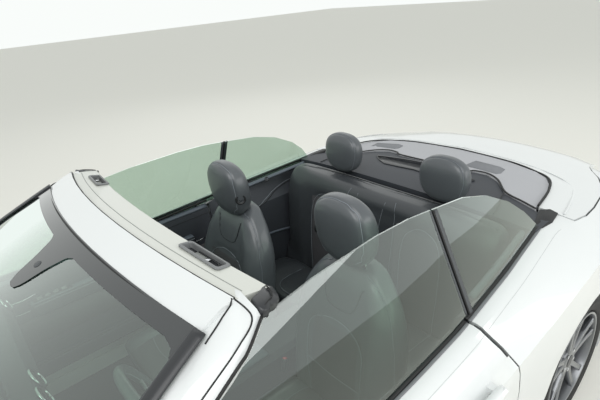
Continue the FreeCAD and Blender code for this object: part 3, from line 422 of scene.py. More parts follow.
def added(name: str, mesh: Mesh, body: str) -> Object:
    """Put a mesh into the scene on a body, and report it.

    Args:
        name: The piece's name.
        mesh: Its mesh.
        body: The body it rides on.

    Returns:
        The new object.
    """
    piece = bpy.data.objects.new(name, mesh)
    bpy.context.scene.collection.objects.link(piece)
    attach(piece, body)
    log.info("%s on %s: %d faces", name, body, len(mesh.polygons))
    return piece


def skin(rings: list[list[Vector]], closed: bool = True, capped: bool = True) -> Form:
    """Join rings of points into a surface.

    Args:
        rings: Rings with as many points each.
        closed: Whether each ring closes on itself.
        capped: Whether the first and last rings are filled by a fan.

    Returns:
        The points and the faces.
    """
    count = len(rings[0])
    points = [p for ring in rings for p in ring]
    faces = []
    for r in range(len(rings) - 1):
        for i in range(count if closed else count - 1):
            a, b = r * count + i, r * count + (i + 1) % count
            faces.append((a, b, b + count, a + count))
    if capped:
        for r, flip in ((0, True), (len(rings) - 1, False)):
            points.append(sum(rings[r], Vector()) / count)
            for i in range(count):
                a, b = r * count + i, r * count + (i + 1) % count
                faces.append((b, a, len(points) - 1) if flip else (a, b, len(points) - 1))
    return points, faces


def hoop(rings: list[list[Vector]]) -> Form:
    """Join rings of points into a closed hoop, in which the last ring meets the first.

    Args:
        rings: Rings with as many points each.

    Returns:
        The points and the faces.
    """
    count, faces = len(rings[0]), []
    for i in range(len(rings)):
        for j in range(count):
            a, b = i * count, ((i + 1) % len(rings)) * count
            faces.append((a + j, b + j, b + (j + 1) % count, a + (j + 1) % count))
    return [p for ring in rings for p in ring], faces


def joined(forms: list[Form]) -> Form:
    """Join several forms into one.

    Args:
        forms: Points and faces of each.

    Returns:
        The points and the faces of all.
    """
    points, faces = [], []
    for more, skins in forms:
        faces += [tuple(i + len(points) for i in f) for f in skins]
        points += more
    return points, faces


def sweep(line: list[Vector], outline: Outline, up: Vector) -> Form:
    """Carry an outline along a line.

    Args:
        line: The line's points in millimetres.
        outline: The outline's (across, up) points.
        up: The direction that the outline's second axis keeps to.

    Returns:
        The points and the faces of the closed strip.
    """
    rings = []
    for i, place in enumerate(line):
        ahead = (line[min(i + 1, len(line) - 1)] - line[max(i - 1, 0)]).normalized()
        across = ahead.cross(up).normalized()
        rise = across.cross(ahead)
        rings.append([place + across * u + rise * v for u, v in outline])
    return skin(rings)


def circle(radius: float, sides: int = 8) -> Outline:
    """A round outline."""
    return [(radius * math.cos(a), radius * math.sin(a)) for a in angles(sides)]


def oblong(width: float, height: float, ease: float = 0.25) -> Outline:
    """A rectangle with eased corners."""
    w, h, e = width / 2, height / 2, ease * min(width, height)
    return [(w, e - h), (w, h - e), (w - e, h), (e - w, h), (-w, h - e), (-w, e - h), (e - w, -h), (w - e, -h)]


def lathe(profile: Outline, sides: int, centre: Point, axis: Vector = ACROSS) -> Form:
    """Turn a profile of (place along the axis, radius) points into a ring or a closed round form.

    Args:
        profile: The closed profile.
        sides: Steps round.
        centre: The centre's place.
        axis: The axis.

    Returns:
        The points and the faces.
    """
    axis = axis.normalized()
    first = axis.cross(UP if abs(axis.z) < 0.9 else ALONG).normalized()
    second = axis.cross(first)
    rings = []
    for angle in angles(sides):
        way = first * math.cos(angle) + second * math.sin(angle)
        rings.append([Vector(centre) + axis * x + way * r for x, r in profile])
    return hoop(rings)


def rounded_slab(outline: Line, thickness: float, ease: float = 2.0) -> Form:
    """A flat slab with eased edges.

    Args:
        outline: Its upper edge in order, in millimetres.
        thickness: How thick it is, downward along its own normal.
        ease: The size of the eased edge.

    Returns:
        The points and the faces.
    """
    top = [Vector(p) for p in outline]
    middle = sum(top, Vector()) / len(top)
    normal = sum(((a - middle).cross(b - middle) for a, b in zip(top, top[1:] + top[:1])),
                 Vector()).normalized()
    inner = [p + (middle - p).normalized() * ease for p in top]
    return skin([inner, [p - normal * ease for p in top], [p - normal * (thickness - ease) for p in top],
                 [p - normal * thickness for p in inner]])


@dataclass
class CadSurfaces:
    """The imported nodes, each with its finish and clean shading.

    Attributes:
        smooth_angle: The angle in degrees up to which neighbouring facets shade as one surface.
        weld: How near points are joined, in metres.
    """

    smooth_angle: float = 32.0
    weld: float = 0.00005

    def build(self) -> None:
        """Give every node its finish."""
        slots = {row["node"]: row.get("material_slot") for row in frame["record"]["subparts"]}
        for name, node in frame["nodes"].items():
            node.data.materials.clear()
            node.data.materials.append(SLOT_FINISHES[slots[name]].build())
            for polygon in node.data.polygons:
                polygon.use_smooth = True
                polygon.material_index = 0
            node.data.normals_split_custom_set([(0, 0, 0)] * len(node.data.loops))
            node.modifiers.new("weld", "WELD").merge_threshold = self.weld
            node.modifiers.new("split", "EDGE_SPLIT").split_angle = math.radians(self.smooth_angle)
            log.info("%s: %s", name, slots[name])


@dataclass(frozen=True)
class PadRow:
    """One section of a pad.

    Attributes:
        level: Where along the pad the section lies: its height, or its y for a flat cushion.
        half: Half its width.
        near: The occupant's side: y of a backrest's front, or z of a cushion's top.
        far: The other side.
        bolster: How far the side bolsters stand over the middle.
        power: How square the section is.
    """

    level: float
    half: float
    near: float
    far: float
    bolster: float = 0.0
    power: float = 3.2

    def values(self) -> tuple[float, ...]:
        """The section's numbers in order."""
        return self.level, self.half, self.near, self.far, self.bolster, self.power


@dataclass
class Seam:
    """A sewn line on a pad.

    Attributes:
        path: Places near the pad's surface, in millimetres; the line is laid on the nearest surface.
        depth: How deep the pad is drawn in.
        width: How far to each side the pad is drawn in.
        thread: Radius of the piping or thread that shows, or 0 for none.
        finish: The thread's surface.
    """

    path: list[Point]
    depth: float = 5.0
    width: float = 14.0
    thread: float = 1.1
    finish: Finish = THREAD


@dataclass(frozen=True)
class Panel:
    """The centre panel of a seat.

    Attributes:
        reach: Lowest and highest distance from the car's middle, in millimetres.
        level: Lowest and highest place, in millimetres.
        rearmost: How far to the rear it goes.
    """

    reach: tuple[float, float]
    level: tuple[float, float]
    rearmost: float = 2000.0

    def holds(self, place: Vector) -> bool:
        """Whether a place in millimetres lies on the panel."""
        inside = self.reach[0] < abs(place.x) < self.reach[1] and self.level[0] < place.z < self.level[1]
        return inside and place.y < self.rearmost


@dataclass
class Pad:
    """A padded piece: a crowned closed form, puffed by a short cloth run, then sewn.

    Attributes:
        name: The piece's name.
        node: The CAD node it stands for.
        centre: x of its middle on the left side.
        rows: Its sections in order.
        flat: Whether the sections stand along y, as on a cushion.
        shape: Height of the surface over the section by share of the half width.
        seams: Its sewn lines.
        puff: The most that a point may move out in the cloth run, in millimetres.
        steps: Extra sections between two rows.
        count: Points round a section.
        insert: The centre panel with its own finish, or None.
        keep: What moves a point clear of the neighbours, or None.
        finish: Its surface.
    """

    name: str
    node: str
    centre: float
    rows: list[PadRow]
    flat: bool = False
    shape: Outline = field(default_factory=lambda: [(0, 0), (0.45, 0.05), (0.75, 1), (1, 0.7)])
    seams: list[Seam] = field(default_factory=list)
    puff: float = 6.0
    steps: int = 3
    count: int = 44
    insert: Panel | None = None
    keep: Callable[[Vector], Vector] | None = None
    finish: Finish = LEATHER

    FILL = 0.85
    CORD_UP = Vector((0.1, 0.2, 1))

    def section(self, values: tuple[float, ...]) -> list[Vector]:
        """Lay out one section.

        Args:
            values: The section's numbers, as a row gives them.

        Returns:
            Its points in millimetres.
        """
        level, half, near, far, bolster, power = values
        ring = []
        for i in range(self.count):
            angle = math.tau * (i + 0.5) / self.count
            c, s = math.cos(angle), math.sin(angle)
            u = math.copysign(abs(c) ** (2 / power), c)
            w = math.copysign(abs(s) ** (2 / power), s)
            middle, reach = (near + far) / 2, (near - far) / 2
            out = math.copysign(1, near - far)
            depth = middle + reach * w
            if w > 0:
                depth += out * bolster * table(self.shape, abs(u)) * w
            place = Vector((self.centre + half * u, level, depth) if self.flat else
                           (self.centre + half * u, depth, level))
            ring.append(self.keep(place) if self.keep else place)
        # The two layouts run round the other way, so one is turned to keep its faces outward.
        return ring[::-1] if self.flat else ring

    def build(self) -> Object:
        """Make, puff and sew the pad on the left side.

        Returns:
            The left piece.
        """
        rows = spline([row.values() for row in self.rows], self.steps)
        piece = make_piece(self.name, *skin([self.section(values) for values in rows]), self.finish)
        outward(piece)
        if self.puff:
            puff_up(piece, self.puff)
        refine(piece)
        for seam in self.seams:
            press(piece, on_surface(piece, flow(seam.path, 10)), seam)
        if self.insert:
            piece.data.materials.append(INSERT_LEATHER.build())
            for polygon in piece.data.polygons:
                polygon.material_index = int(self.insert.holds(polygon.center / MM))
        return piece

    def place(self, sides: tuple[Side, ...] = (Side.LEFT, Side.RIGHT), lower: float = 0.0) -> None:
        """Set the pad on one side or on both.

        Args:
            sides: The sides it stands on.
            lower: How much lower the right one stands.
        """
        left = self.build()
        for side in sides:
            drop = lower if side is Side.RIGHT else 0.0
            piece = left if side is Side.LEFT else mirrored_piece(left, self.name.replace("left", "right"), drop)
            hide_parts(self.node)
            for number, seam in enumerate(self.seams):
                if seam.thread:
                    line = [p + DOWN * drop for p in on_surface(left, flow(seam.path, 10))]
                    make_piece("%s_seam_%d" % (piece.name, number),
                               *sweep(line, circle(seam.thread, 6), self.CORD_UP), seam.finish, side=side)


def outward(piece: Object) -> None:
    """Turn a closed piece's faces outward.

    Args:
        piece: The piece.
    """
    work = bmesh.new()
    work.from_mesh(piece.data)
    bmesh.ops.recalc_face_normals(work, faces=work.faces)
    work.to_mesh(piece.data)
    work.free()


def settled(piece: Object) -> Mesh:
    """Read a piece's mesh with its modifiers."""
    graph = bpy.context.evaluated_depsgraph_get()
    return bpy.data.meshes.new_from_object(piece.evaluated_get(graph))


def puff_up(piece: Object, cap: float, frames: int = 14) -> None:
    """Blow a pad up a little as cloth, and keep each point within a limit.

    Args:
        piece: The pad.
        cap: The most that a point may move, in millimetres.
        frames: How long the cloth runs.
    """
    start = [v.co.copy() for v in piece.data.vertices]
    cloth = piece.modifiers.new("cloth", "CLOTH")
    cloth.settings.quality = 4
    cloth.settings.use_pressure = True
    cloth.settings.uniform_pressure_force = 4.0
    cloth.settings.effector_weights.gravity = 0.0
    scene = bpy.context.scene
    for number in range(1, frames + 1):
        scene.frame_set(number)
    blown = settled(piece)
    piece.modifiers.remove(cloth)
    for vertex, old, new in zip(piece.data.vertices, start, blown.vertices):
        move = new.co - old
        if move.length > cap * MM:
            move = move.normalized() * cap * MM
        vertex.co = old + move
    bpy.data.meshes.remove(blown)
    scene.frame_set(1)


def refine(piece: Object, levels: int = 1) -> None:
    """Subdivide a piece's surface smoothly.

    Args:
        piece: The piece.
        levels: How many times.
    """
    modifier = piece.modifiers.new("subdivision", "SUBSURF")
    modifier.levels = levels
    finer = settled(piece)
    piece.modifiers.remove(modifier)
    old = piece.data
    piece.data = finer
    bpy.data.meshes.remove(old)
    for polygon in piece.data.polygons:
        polygon.use_smooth = True


def on_surface(piece: Object, line: list[Vector], lift: float = 0.4) -> list[Vector]:
    """Move a line onto the nearest surface of a piece.

    Args:
        piece: The piece.
        line: Places in millimetres.
        lift: How far over the surface the line ends, in millimetres.

    Returns:
        The moved places in millimetres.
    """
    tree = BVHTree.FromPolygons([v.co for v in piece.data.vertices], [p.vertices for p in piece.data.polygons])
    found = []
    for place in line:
        spot, normal, _, _ = tree.find_nearest(place * MM)
        found.append(spot / MM + normal * lift)
    for _ in range(3):
        found = found[:1] + [(a + b * 2 + c) / 4 for a, b, c in zip(found, found[1:], found[2:])] + found[-1:]
    return found


def press(piece: Object, line: list[Vector], seam: Seam) -> None:
    """Draw a pad's surface in along a seam.

    Args:
        piece: The pad.
        line: The seam's places in millimetres.
        seam: Its depth and width.
    """
    spots = KDTree(len(line))
    for i, place in enumerate(line):
        spots.insert(place * MM, i)
    spots.balance()
    normals = [v.normal.copy() for v in piece.data.vertices]
    for vertex, normal in zip(piece.data.vertices, normals):
        _, _, distance = spots.find(vertex.co)
        share = distance / MM / seam.width
        if share < 2.5:
            vertex.co -= normal * (seam.depth * MM * math.exp(-share * share * 2))


def mirrored_piece(piece: Object, name: str, lower: float = 0.0) -> Object:
    """Copy a left piece to the right side.

    Args:
        piece: The left piece.
        name: The copy's name.
        lower: How much lower it stands, in millimetres.

    Returns:
        The copy.
    """
    mesh = piece.data.copy()
    mesh.name = name
    for vertex in mesh.vertices:
        vertex.co = (-vertex.co.x, vertex.co.y, vertex.co.z - lower * MM)
    mesh.flip_normals()
    return added(name, mesh, CAR)


@dataclass
class Upholstery:
    """The four seats with their headrests.

    Attributes:
        seat_x: The middle of a front seat.
        rear_x: The middle of a rear seat.
        lowered: How much lower the passenger's headrest stands.
        wheel: y and z of the rear wheel's middle.
        lining: The radius that the rear bench keeps clear of the wheel's lining.
    """

    seat_x: float = 365.0
    rear_x: float = 302.0
    lowered: float = 45.0
    wheel: tuple[float, float] = (1287.0, 331.0)
    lining: float = 388.0

    def build(self) -> None:
        """Make every pad."""
        self.front_seats()
        self.front_headrests()
        self.rear_bench()
        self.rear_headrests()

    def front_seats(self) -> None:
        """Add the front cushions and backs with their bolsters, panels and seams."""
        x = self.seat_x
        back = [PadRow(*row) for row in (
            (345, 200, 330, 425, 0), (372, 234, 325, 440, 8), (450, 249, 328, 464, 26),
            (600, 250, 342, 494, 30), (740, 248, 362, 514, 30), (850, 232, 388, 526, 24),
            (930, 196, 410, 534, 14), (990, 152, 432, 538, 6), (1026, 112, 456, 536, 2),
            (1044, 72, 478, 524, 0, 2.4))]
        seams = [Seam([(x + s * 118, 300, 420), (x + s * 128, 320, 560), (x + s * 134, 330, 700),
                       (x + s * 116, 352, 780), (x + s * 66, 370, 814)]) for s in (1, -1)]
        seams += [Seam([(x - 66, 370, 814), (x, 374, 824), (x + 66, 370, 814)]),
                  Seam([(x - 130, 330, 600), (x, 340, 590), (x + 130, 330, 600)], depth=4),
                  Seam([(x - 88, 402, 985), (x - 72, 398, 905), (x - 42, 394, 872), (x + 42, 394, 872),
                        (x + 72, 398, 905), (x + 88, 402, 985)], depth=4, width=9, thread=1.6,
                       finish=DARK_PIPING)]
        seams += [Seam([(x + s * 90, 430, 1040), (x + s * 150, 440, 985), (x + s * 205, 425, 910),
                        (x + s * 246, 400, 800), (x + s * 250, 390, 600), (x + s * 248, 380, 420)], depth=3,
                       width=9, thread=1.6, finish=PIPING) for s in (1, -1)]
        Pad("seat_back_left", "seat_backs", x, back, seams=seams, puff=5,
            insert=Panel((x - 118, x + 118), (400, 806), 420)).place()
        cushion = [PadRow(*row) for row in (
            (-142, 190, 450, 400, 0, 2.6), (-130, 226, 468, 372, 4), (-70, 246, 474, 352, 16),
            (80, 248, 462, 348, 26),
            (230, 248, 452, 348, 28), (320, 240, 446, 352, 18), (350, 214, 432, 370, 4, 2.6))]
        seams = [Seam([(x + s * 112, -120, 480), (x + s * 126, 0, 480), (x + s * 132, 160, 470),
                       (x + s * 130, 330, 460)]) for s in (1, -1)]
        seams += [Seam([(x - 126, -20, 480), (x, -40, 480), (x + 126, -20, 480)]),
                  Seam([(x - 130, 150, 470), (x, 150, 470), (x + 130, 150, 470)], depth=4)]
        Pad("seat_cushion_left", "seat_cushions", x, cushion, flat=True, seams=seams, puff=5,
            insert=Panel((x - 124, x + 124), (440, 520))).place()

    def front_headrests(self) -> None:
        """Add the tall front headrests, each with a side seam, a button and chromed posts."""
        x = self.seat_x
        seam = self.arched(x, [(96, 380, 1050), (112, 392, 1110), (114, 398, 1190), (96, 400, 1262),
                               (40, 404, 1292)])
        Pad("headrest_front_left", "front_headrests", x, self.oval(1165, 131, 126, 442, 60, lean=-10),
            seams=[Seam(seam, 3, 8, 1.2)], puff=4, count=36, shape=[(0, 0), (1, 0)]).place(lower=self.lowered)
        button = [(8, 0.1), (8, 23), (-4, 24), (-6, 22), (-6, 17), (-3, 16), (-3, 9), (-5, 8), (-5, 0.1)]
        for side, drop in ((Side.LEFT, 0.0), (Side.RIGHT, self.lowered)):
            make_piece("headrest_button_" + side.word, *lathe(button, 36, (x - 115, 424, 1146 - drop),
                                                              Vector((0.93, 0.36, 0))), BLACK_PLASTIC, side=side)
            for name, at in (("outer", x + 60), ("inner", x - 60)):
                post = sweep([Vector((at, 470, 985)), Vector((at, 466, 1075 - drop))], circle(6.5, 14), ALONG)
                make_piece("headrest_post_%s_%s" % (side.word, name), *post, CHROME, side=side)

    def arched(self, x: float, half: Line) -> Line:
        """A line that runs over a headrest from side to side."""
        return [(x + u, y, z) for u, y, z in half] + [(x - u, y, z) for u, y, z in half[::-1]]

    def oval(self, middle: float, half: float, width: float, y: float, depth: float,
             lean: float) -> list[PadRow]:
        """Rows of a rounded headrest.

        Args:
            middle: Height of its middle.
            half: Half its height.
            width: Half its width.
            y: Its middle's place.
            depth: Half its thickness.
            lean: How far its top stands ahead.

        Returns:
            The rows from the bottom up.
        """
        rows = []
        for t in (-0.985, -0.9, -0.7, -0.4, 0, 0.35, 0.65, 0.85, 0.95, 0.992):
            fall = (1 - abs(t) ** 3.0) ** 0.5
            taper = 1 - 0.1 * max(-t, 0)
            centre = y + lean * t
            rows.append(PadRow(middle + half * t, width * fall * taper, centre - depth * fall ** 0.9,
                               centre + depth * fall ** 0.9, 0, 2.7))
        return rows

    def rear_bench(self) -> None:
        """Add the rear cushion and back, with two shaped seats and a flat middle."""
        x = self.rear_x
        wide = [(0, 0.55), (0.16, 0.6), (0.23, 1.0), (0.32, 0.25), (0.48, 0), (0.66, 0.25), (0.8, 1.0), (1, 0.9)]
        back = [PadRow(*row) for row in (
            (345, 600, 925, 1128, 0, 5), (400, 624, 922, 1132, 12, 6), (560, 628, 934, 1133, 22, 7),
            (760, 628, 952, 1133, 24, 7), (890, 626, 966, 1133, 20, 7), (950, 618, 976, 1130, 10, 6),
            (985, 604, 996, 1120, 2, 5), (999, 580, 1020, 1100, 0, 4))]
        seams = []
        for s in (1, -1):
            seams += [Seam([(s * 142, 900, 420), (s * 140, 930, 600), (s * 150, 940, 800), (s * 150, 960, 930),
                            (s * 138, 990, 1000)], depth=7, width=12, thread=0.9),
                      Seam([(s * 40, 900, 420), (s * 46, 930, 640), (s * 66, 950, 850), (s * 86, 980, 985)],
                           depth=5, width=10, thread=0.9),
                      Seam([(s * (x - 96), 900, 430), (s * (x - 104), 930, 640), (s * (x - 98), 950, 820),
                            (s * (x - 62), 960, 892), (s * x, 962, 912), (s * (x + 62), 960, 892),
                            (s * (x + 98), 950, 820), (s * (x + 104), 930, 640), (s * (x + 96), 900, 430)],
                           depth=6, width=11)]
            seams += [Seam([(s * (x - 96), 940, z), (s * (x - 40), 940, z + 10), (s * (x + 40), 940, z + 10),
                            (s * (x + 96), 940, z)], depth=4, width=9, thread=0.0)
                      for z in (520, 600, 680, 760, 835)]
        seams.append(Seam([(-600, 1040, 985), (-430, 1075, 1000), (-150, 1090, 1002), (0, 1094, 1002),
                           (150, 1090, 1002), (430, 1075, 1000), (600, 1040, 985)], depth=6, width=9,
                          thread=2.2, finish=DARK_PIPING))
        Pad("rear_seat_back", "rear_backrest", 0.0, back, shape=wide, seams=seams, puff=5, count=120, steps=4,
            finish=BENCH_LEATHER, insert=Panel((x - 96, x + 96), (430, 888), 985),
            keep=self.clear_of_wheel).place((Side.LEFT,))
        cushion = [PadRow(*row) for row in (
            (602, 590, 430, 380, 0, 4), (615, 616, 452, 352, 6, 5), (680, 624, 458, 342, 16, 7),
            (800, 624, 452, 342, 20, 7), (890, 618, 446, 346, 12, 6), (912, 600, 430, 360, 2, 5))]
        seams = []
        for s in (1, -1):
            seams += [Seam([(s * 142, 610, 470), (s * 140, 740, 480), (s * 140, 905, 470)], depth=7, width=12),
                      Seam([(s * (x - 110), 900, 460), (s * (x - 108), 720, 465), (s * (x - 60), 655, 465),
                            (s * (x + 60), 655, 465), (s * (x + 108), 720, 465), (s * (x + 110), 900, 460)], depth=5)]
        Pad("rear_seat_cushion", "rear_cushion", 0.0, cushion, flat=True, shape=wide, seams=seams, puff=5,
            count=110, finish=BENCH_LEATHER, keep=self.clear_of_wheel).place((Side.LEFT,))

    def clear_of_wheel(self, place: Vector) -> Vector:
        """Keep a point of the bench ahead of the lining over the rear wheel.

        Args:
            place: The point in millimetres.

        Returns:
            The point, moved forward where it has to be.
        """
        middle, level = self.wheel
        drop = abs(place.z - level)
        if abs(place.x) > 452 and drop < self.lining:
            place.y = min(place.y, middle - math.sqrt(self.lining ** 2 - drop ** 2) - 4)
        return place

    def rear_headrests(self) -> None:
        """Add the rounded rear headrests with light piping."""
        x = self.rear_x
        loop = self.arched(x, [(84, 1075, 1022), (104, 1084, 1080), (106, 1090, 1140), (84, 1096, 1192),
                               (30, 1100, 1212)])[::-1]
        Pad("headrest_rear_left", "rear_headrests", x, self.oval(1110, 104, 119, 1118, 50, lean=4),
            seams=[Seam(loop, 2.5, 8, 1.4, PIPING)], puff=4, count=36, shape=[(0, 0), (1, 0)]).place()


# The upper edge of the doors and quarter panels. Columns: y, x, z.
BELT = [(-850, 766, 914), (-400, 770, 909), (100, 770, 912), (500, 759, 929), (850, 729, 954), (1181, 690, 980)]
GLASS_LEAN = 0.465


def belt(y: float, out: float = 0.0, rise: float = 0.0) -> Point:
    """A place on the belt line."""
    x, z = (table([(row[0], row[k]) for row in BELT], y, eased=False) for k in (1, 2))
    return x + out, y, z + rise


def on_glass(y: float, z: float, out: float = 0.0) -> Point:
    """A place on the outer face of the side glass."""
    x, _, base = belt(y)
    return x - 6 - GLASS_LEAN * (z - base) + out, y, z


def upright(x: tuple[float, float], y: float, z: tuple[float, float]) -> Line:
    """The corners of an upright panel that faces the rear."""
    return [(x[0], y, z[1]), (x[1], y, z[1]), (x[1], y, z[0]), (x[0], y, z[0])]


def level(x: tuple[float, float], y: tuple[float, float], z: float) -> Line:
    """The corners of a level panel that faces up."""
    return [(x[0], y[0], z), (x[1], y[0], z), (x[1], y[1], z), (x[0], y[1], z)]


class Surfaces:
    """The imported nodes' surfaces, to lay lines on."""

    trees: dict[tuple[str, ...], BVHTree] = {}

    @classmethod
    def tree(cls, nodes: tuple[str, ...]) -> BVHTree:
        """Find the search tree over some nodes.

        Args:
            nodes: The nodes' names.

        Returns:
            The tree, in metres.
        """
        if nodes not in cls.trees:
            forms = [([node.matrix_world @ v.co for v in node.data.vertices],
                      [p.vertices for p in node.data.polygons])
                     for node in (frame["nodes"][name] for name in nodes)]
            cls.trees[nodes] = BVHTree.FromPolygons(*joined(forms))
        return cls.trees[nodes]

    @classmethod
    def laid(cls, nodes: tuple[str, ...], line: list[Vector], lift: float,
             way: Vector | None = None) -> list[Vector]:
        """Lay a line on the nodes, along a direction or on the nearest place.

        Args:
            nodes: The nodes' names.
            line: Places in millimetres.
            lift: How far over the surface the line ends.
            way: The direction to lay it in, or None for the nearest place.

        Returns:
            The laid places in millimetres.
        """
        tree = cls.tree(nodes)
        found = []
        for place in line:
            if way is None:
                spot, normal, _, _ = tree.find_nearest(place * MM)
            else:
                spot, normal, _, _ = tree.ray_cast((place - way * 60) * MM, way, 0.16)
            if spot is None:
                found.append(place)
                continue
            out = normal if way is None or normal.dot(way) < 0 else -normal
            found.append(spot / MM + out * lift)
        return found


@dataclass(frozen=True)
class Part:
    """A small part that rides on a body.

    Attributes:
        name: Its name; with {side} in it, there is one on each side.
        finish: Its surface.
        body: The body it rides on; {side} becomes left or right.
    """

    name: str
    finish: Finish
    body: str = field(default=CAR, kw_only=True)

    def form(self) -> Form:
        """Its points on the left side, and its faces."""
        raise NotImplementedError

    def build(self) -> None:
        """Make the part, or one on each side."""
        points, faces = self.form()
        for side in Side if "{side}" in self.name else (Side.LEFT,):
            make_piece(self.name.format(side=side.word), points, faces, self.finish,
                       self.body.format(side=side.word), side)


def build_all(*parts: Part) -> None:
    """Make several parts in order."""
    for part in parts:
        part.build()


@dataclass(frozen=True)
class Strip(Part):
    """A seal, moulding, rod or gap that runs along a line.

    Attributes:
        outline: Its section's (across, up) points.
        path: Its line in millimetres, on the left side.
        up: The way its section stands.
        steps: How finely its line is divided, or 1 for straight runs.
        base: The nodes that the line is laid on, or none.
        lift: How far over them it lies.
        way: The direction to lay it in, or None for the nearest place.
    """

    outline: Outline
    path: Line
    up: Vector = UP
    steps: int = 5
    base: tuple[str, ...] = ()
    lift: float = 0.0
    way: Vector | None = None

    def form(self) -> Form:
        """The strip's points and faces."""
        line = flow(self.path, self.steps)
        if self.base:
            line = Surfaces.laid(self.base, line, self.lift, self.way)
        return sweep(line, self.outline, self.up)


@dataclass(frozen=True)
class Slab(Part):
    """A flat part with eased edges, such as a lid, a key or a cap.

    Attributes:
        outline: Its outer edge in order, in millimetres, on the left side.
        thickness: How thick it is.
        ease: The size of its eased edge.
    """

    outline: Line
    thickness: float
    ease: float

    def form(self) -> Form:
        """The slab's points and faces."""
        return rounded_slab(self.outline, self.thickness, self.ease)


@dataclass(frozen=True)
class Turned(Part):
    """A round part.

    Attributes:
        profile: Its (place along the axis, radius) points.
        centre: Its middle, in millimetres, on the left side.
        axis: The way it faces.
        sides: Steps round.
    """

    profile: Outline
    centre: Point
    axis: Vector = UP
    sides: int = 40

    def form(self) -> Form:
        """The part's points and faces."""
        return lathe(self.profile, self.sides, self.centre, self.axis)


@dataclass(frozen=True)
class Sheet(Part):
    """A thin layer over rows of places.

    Attributes:
        rows: The rows, in millimetres.
    """

    rows: list[list[Vector]]

    def form(self) -> Form:
        """The layer's points and faces."""
        return skin(self.rows, closed=False, capped=False)


@dataclass(frozen=True)
class ShutLine(Part):
    """A dark seal that shows in the gap between two panels.

    Attributes:
        nodes: The panels on the left side.
        path: Places in the gap, in millimetres.
        across: The way over the gap.
        way: The direction in which the panels are looked at.
        sink: How deep under the surface the seal's middle lies.
        radius: The seal's radius.
    """

    nodes: tuple[str, ...]
    path: Line
    across: Vector
    way: Vector
    sink: float = 4.2
    radius: float = 3.3

    def form(self) -> Form:
        """The seal's points and faces, halfway between the two panels' surfaces."""
        line = flow(self.path, 4)
        one, two = (Surfaces.laid(self.nodes, [p + self.across * reach for p in line], 0.0, self.way)
                    for reach in (9, -9))
        middle = [(a + b) / 2 + self.way * self.sink for a, b in zip(one, two)]
        return sweep(middle, circle(self.radius), -self.way)


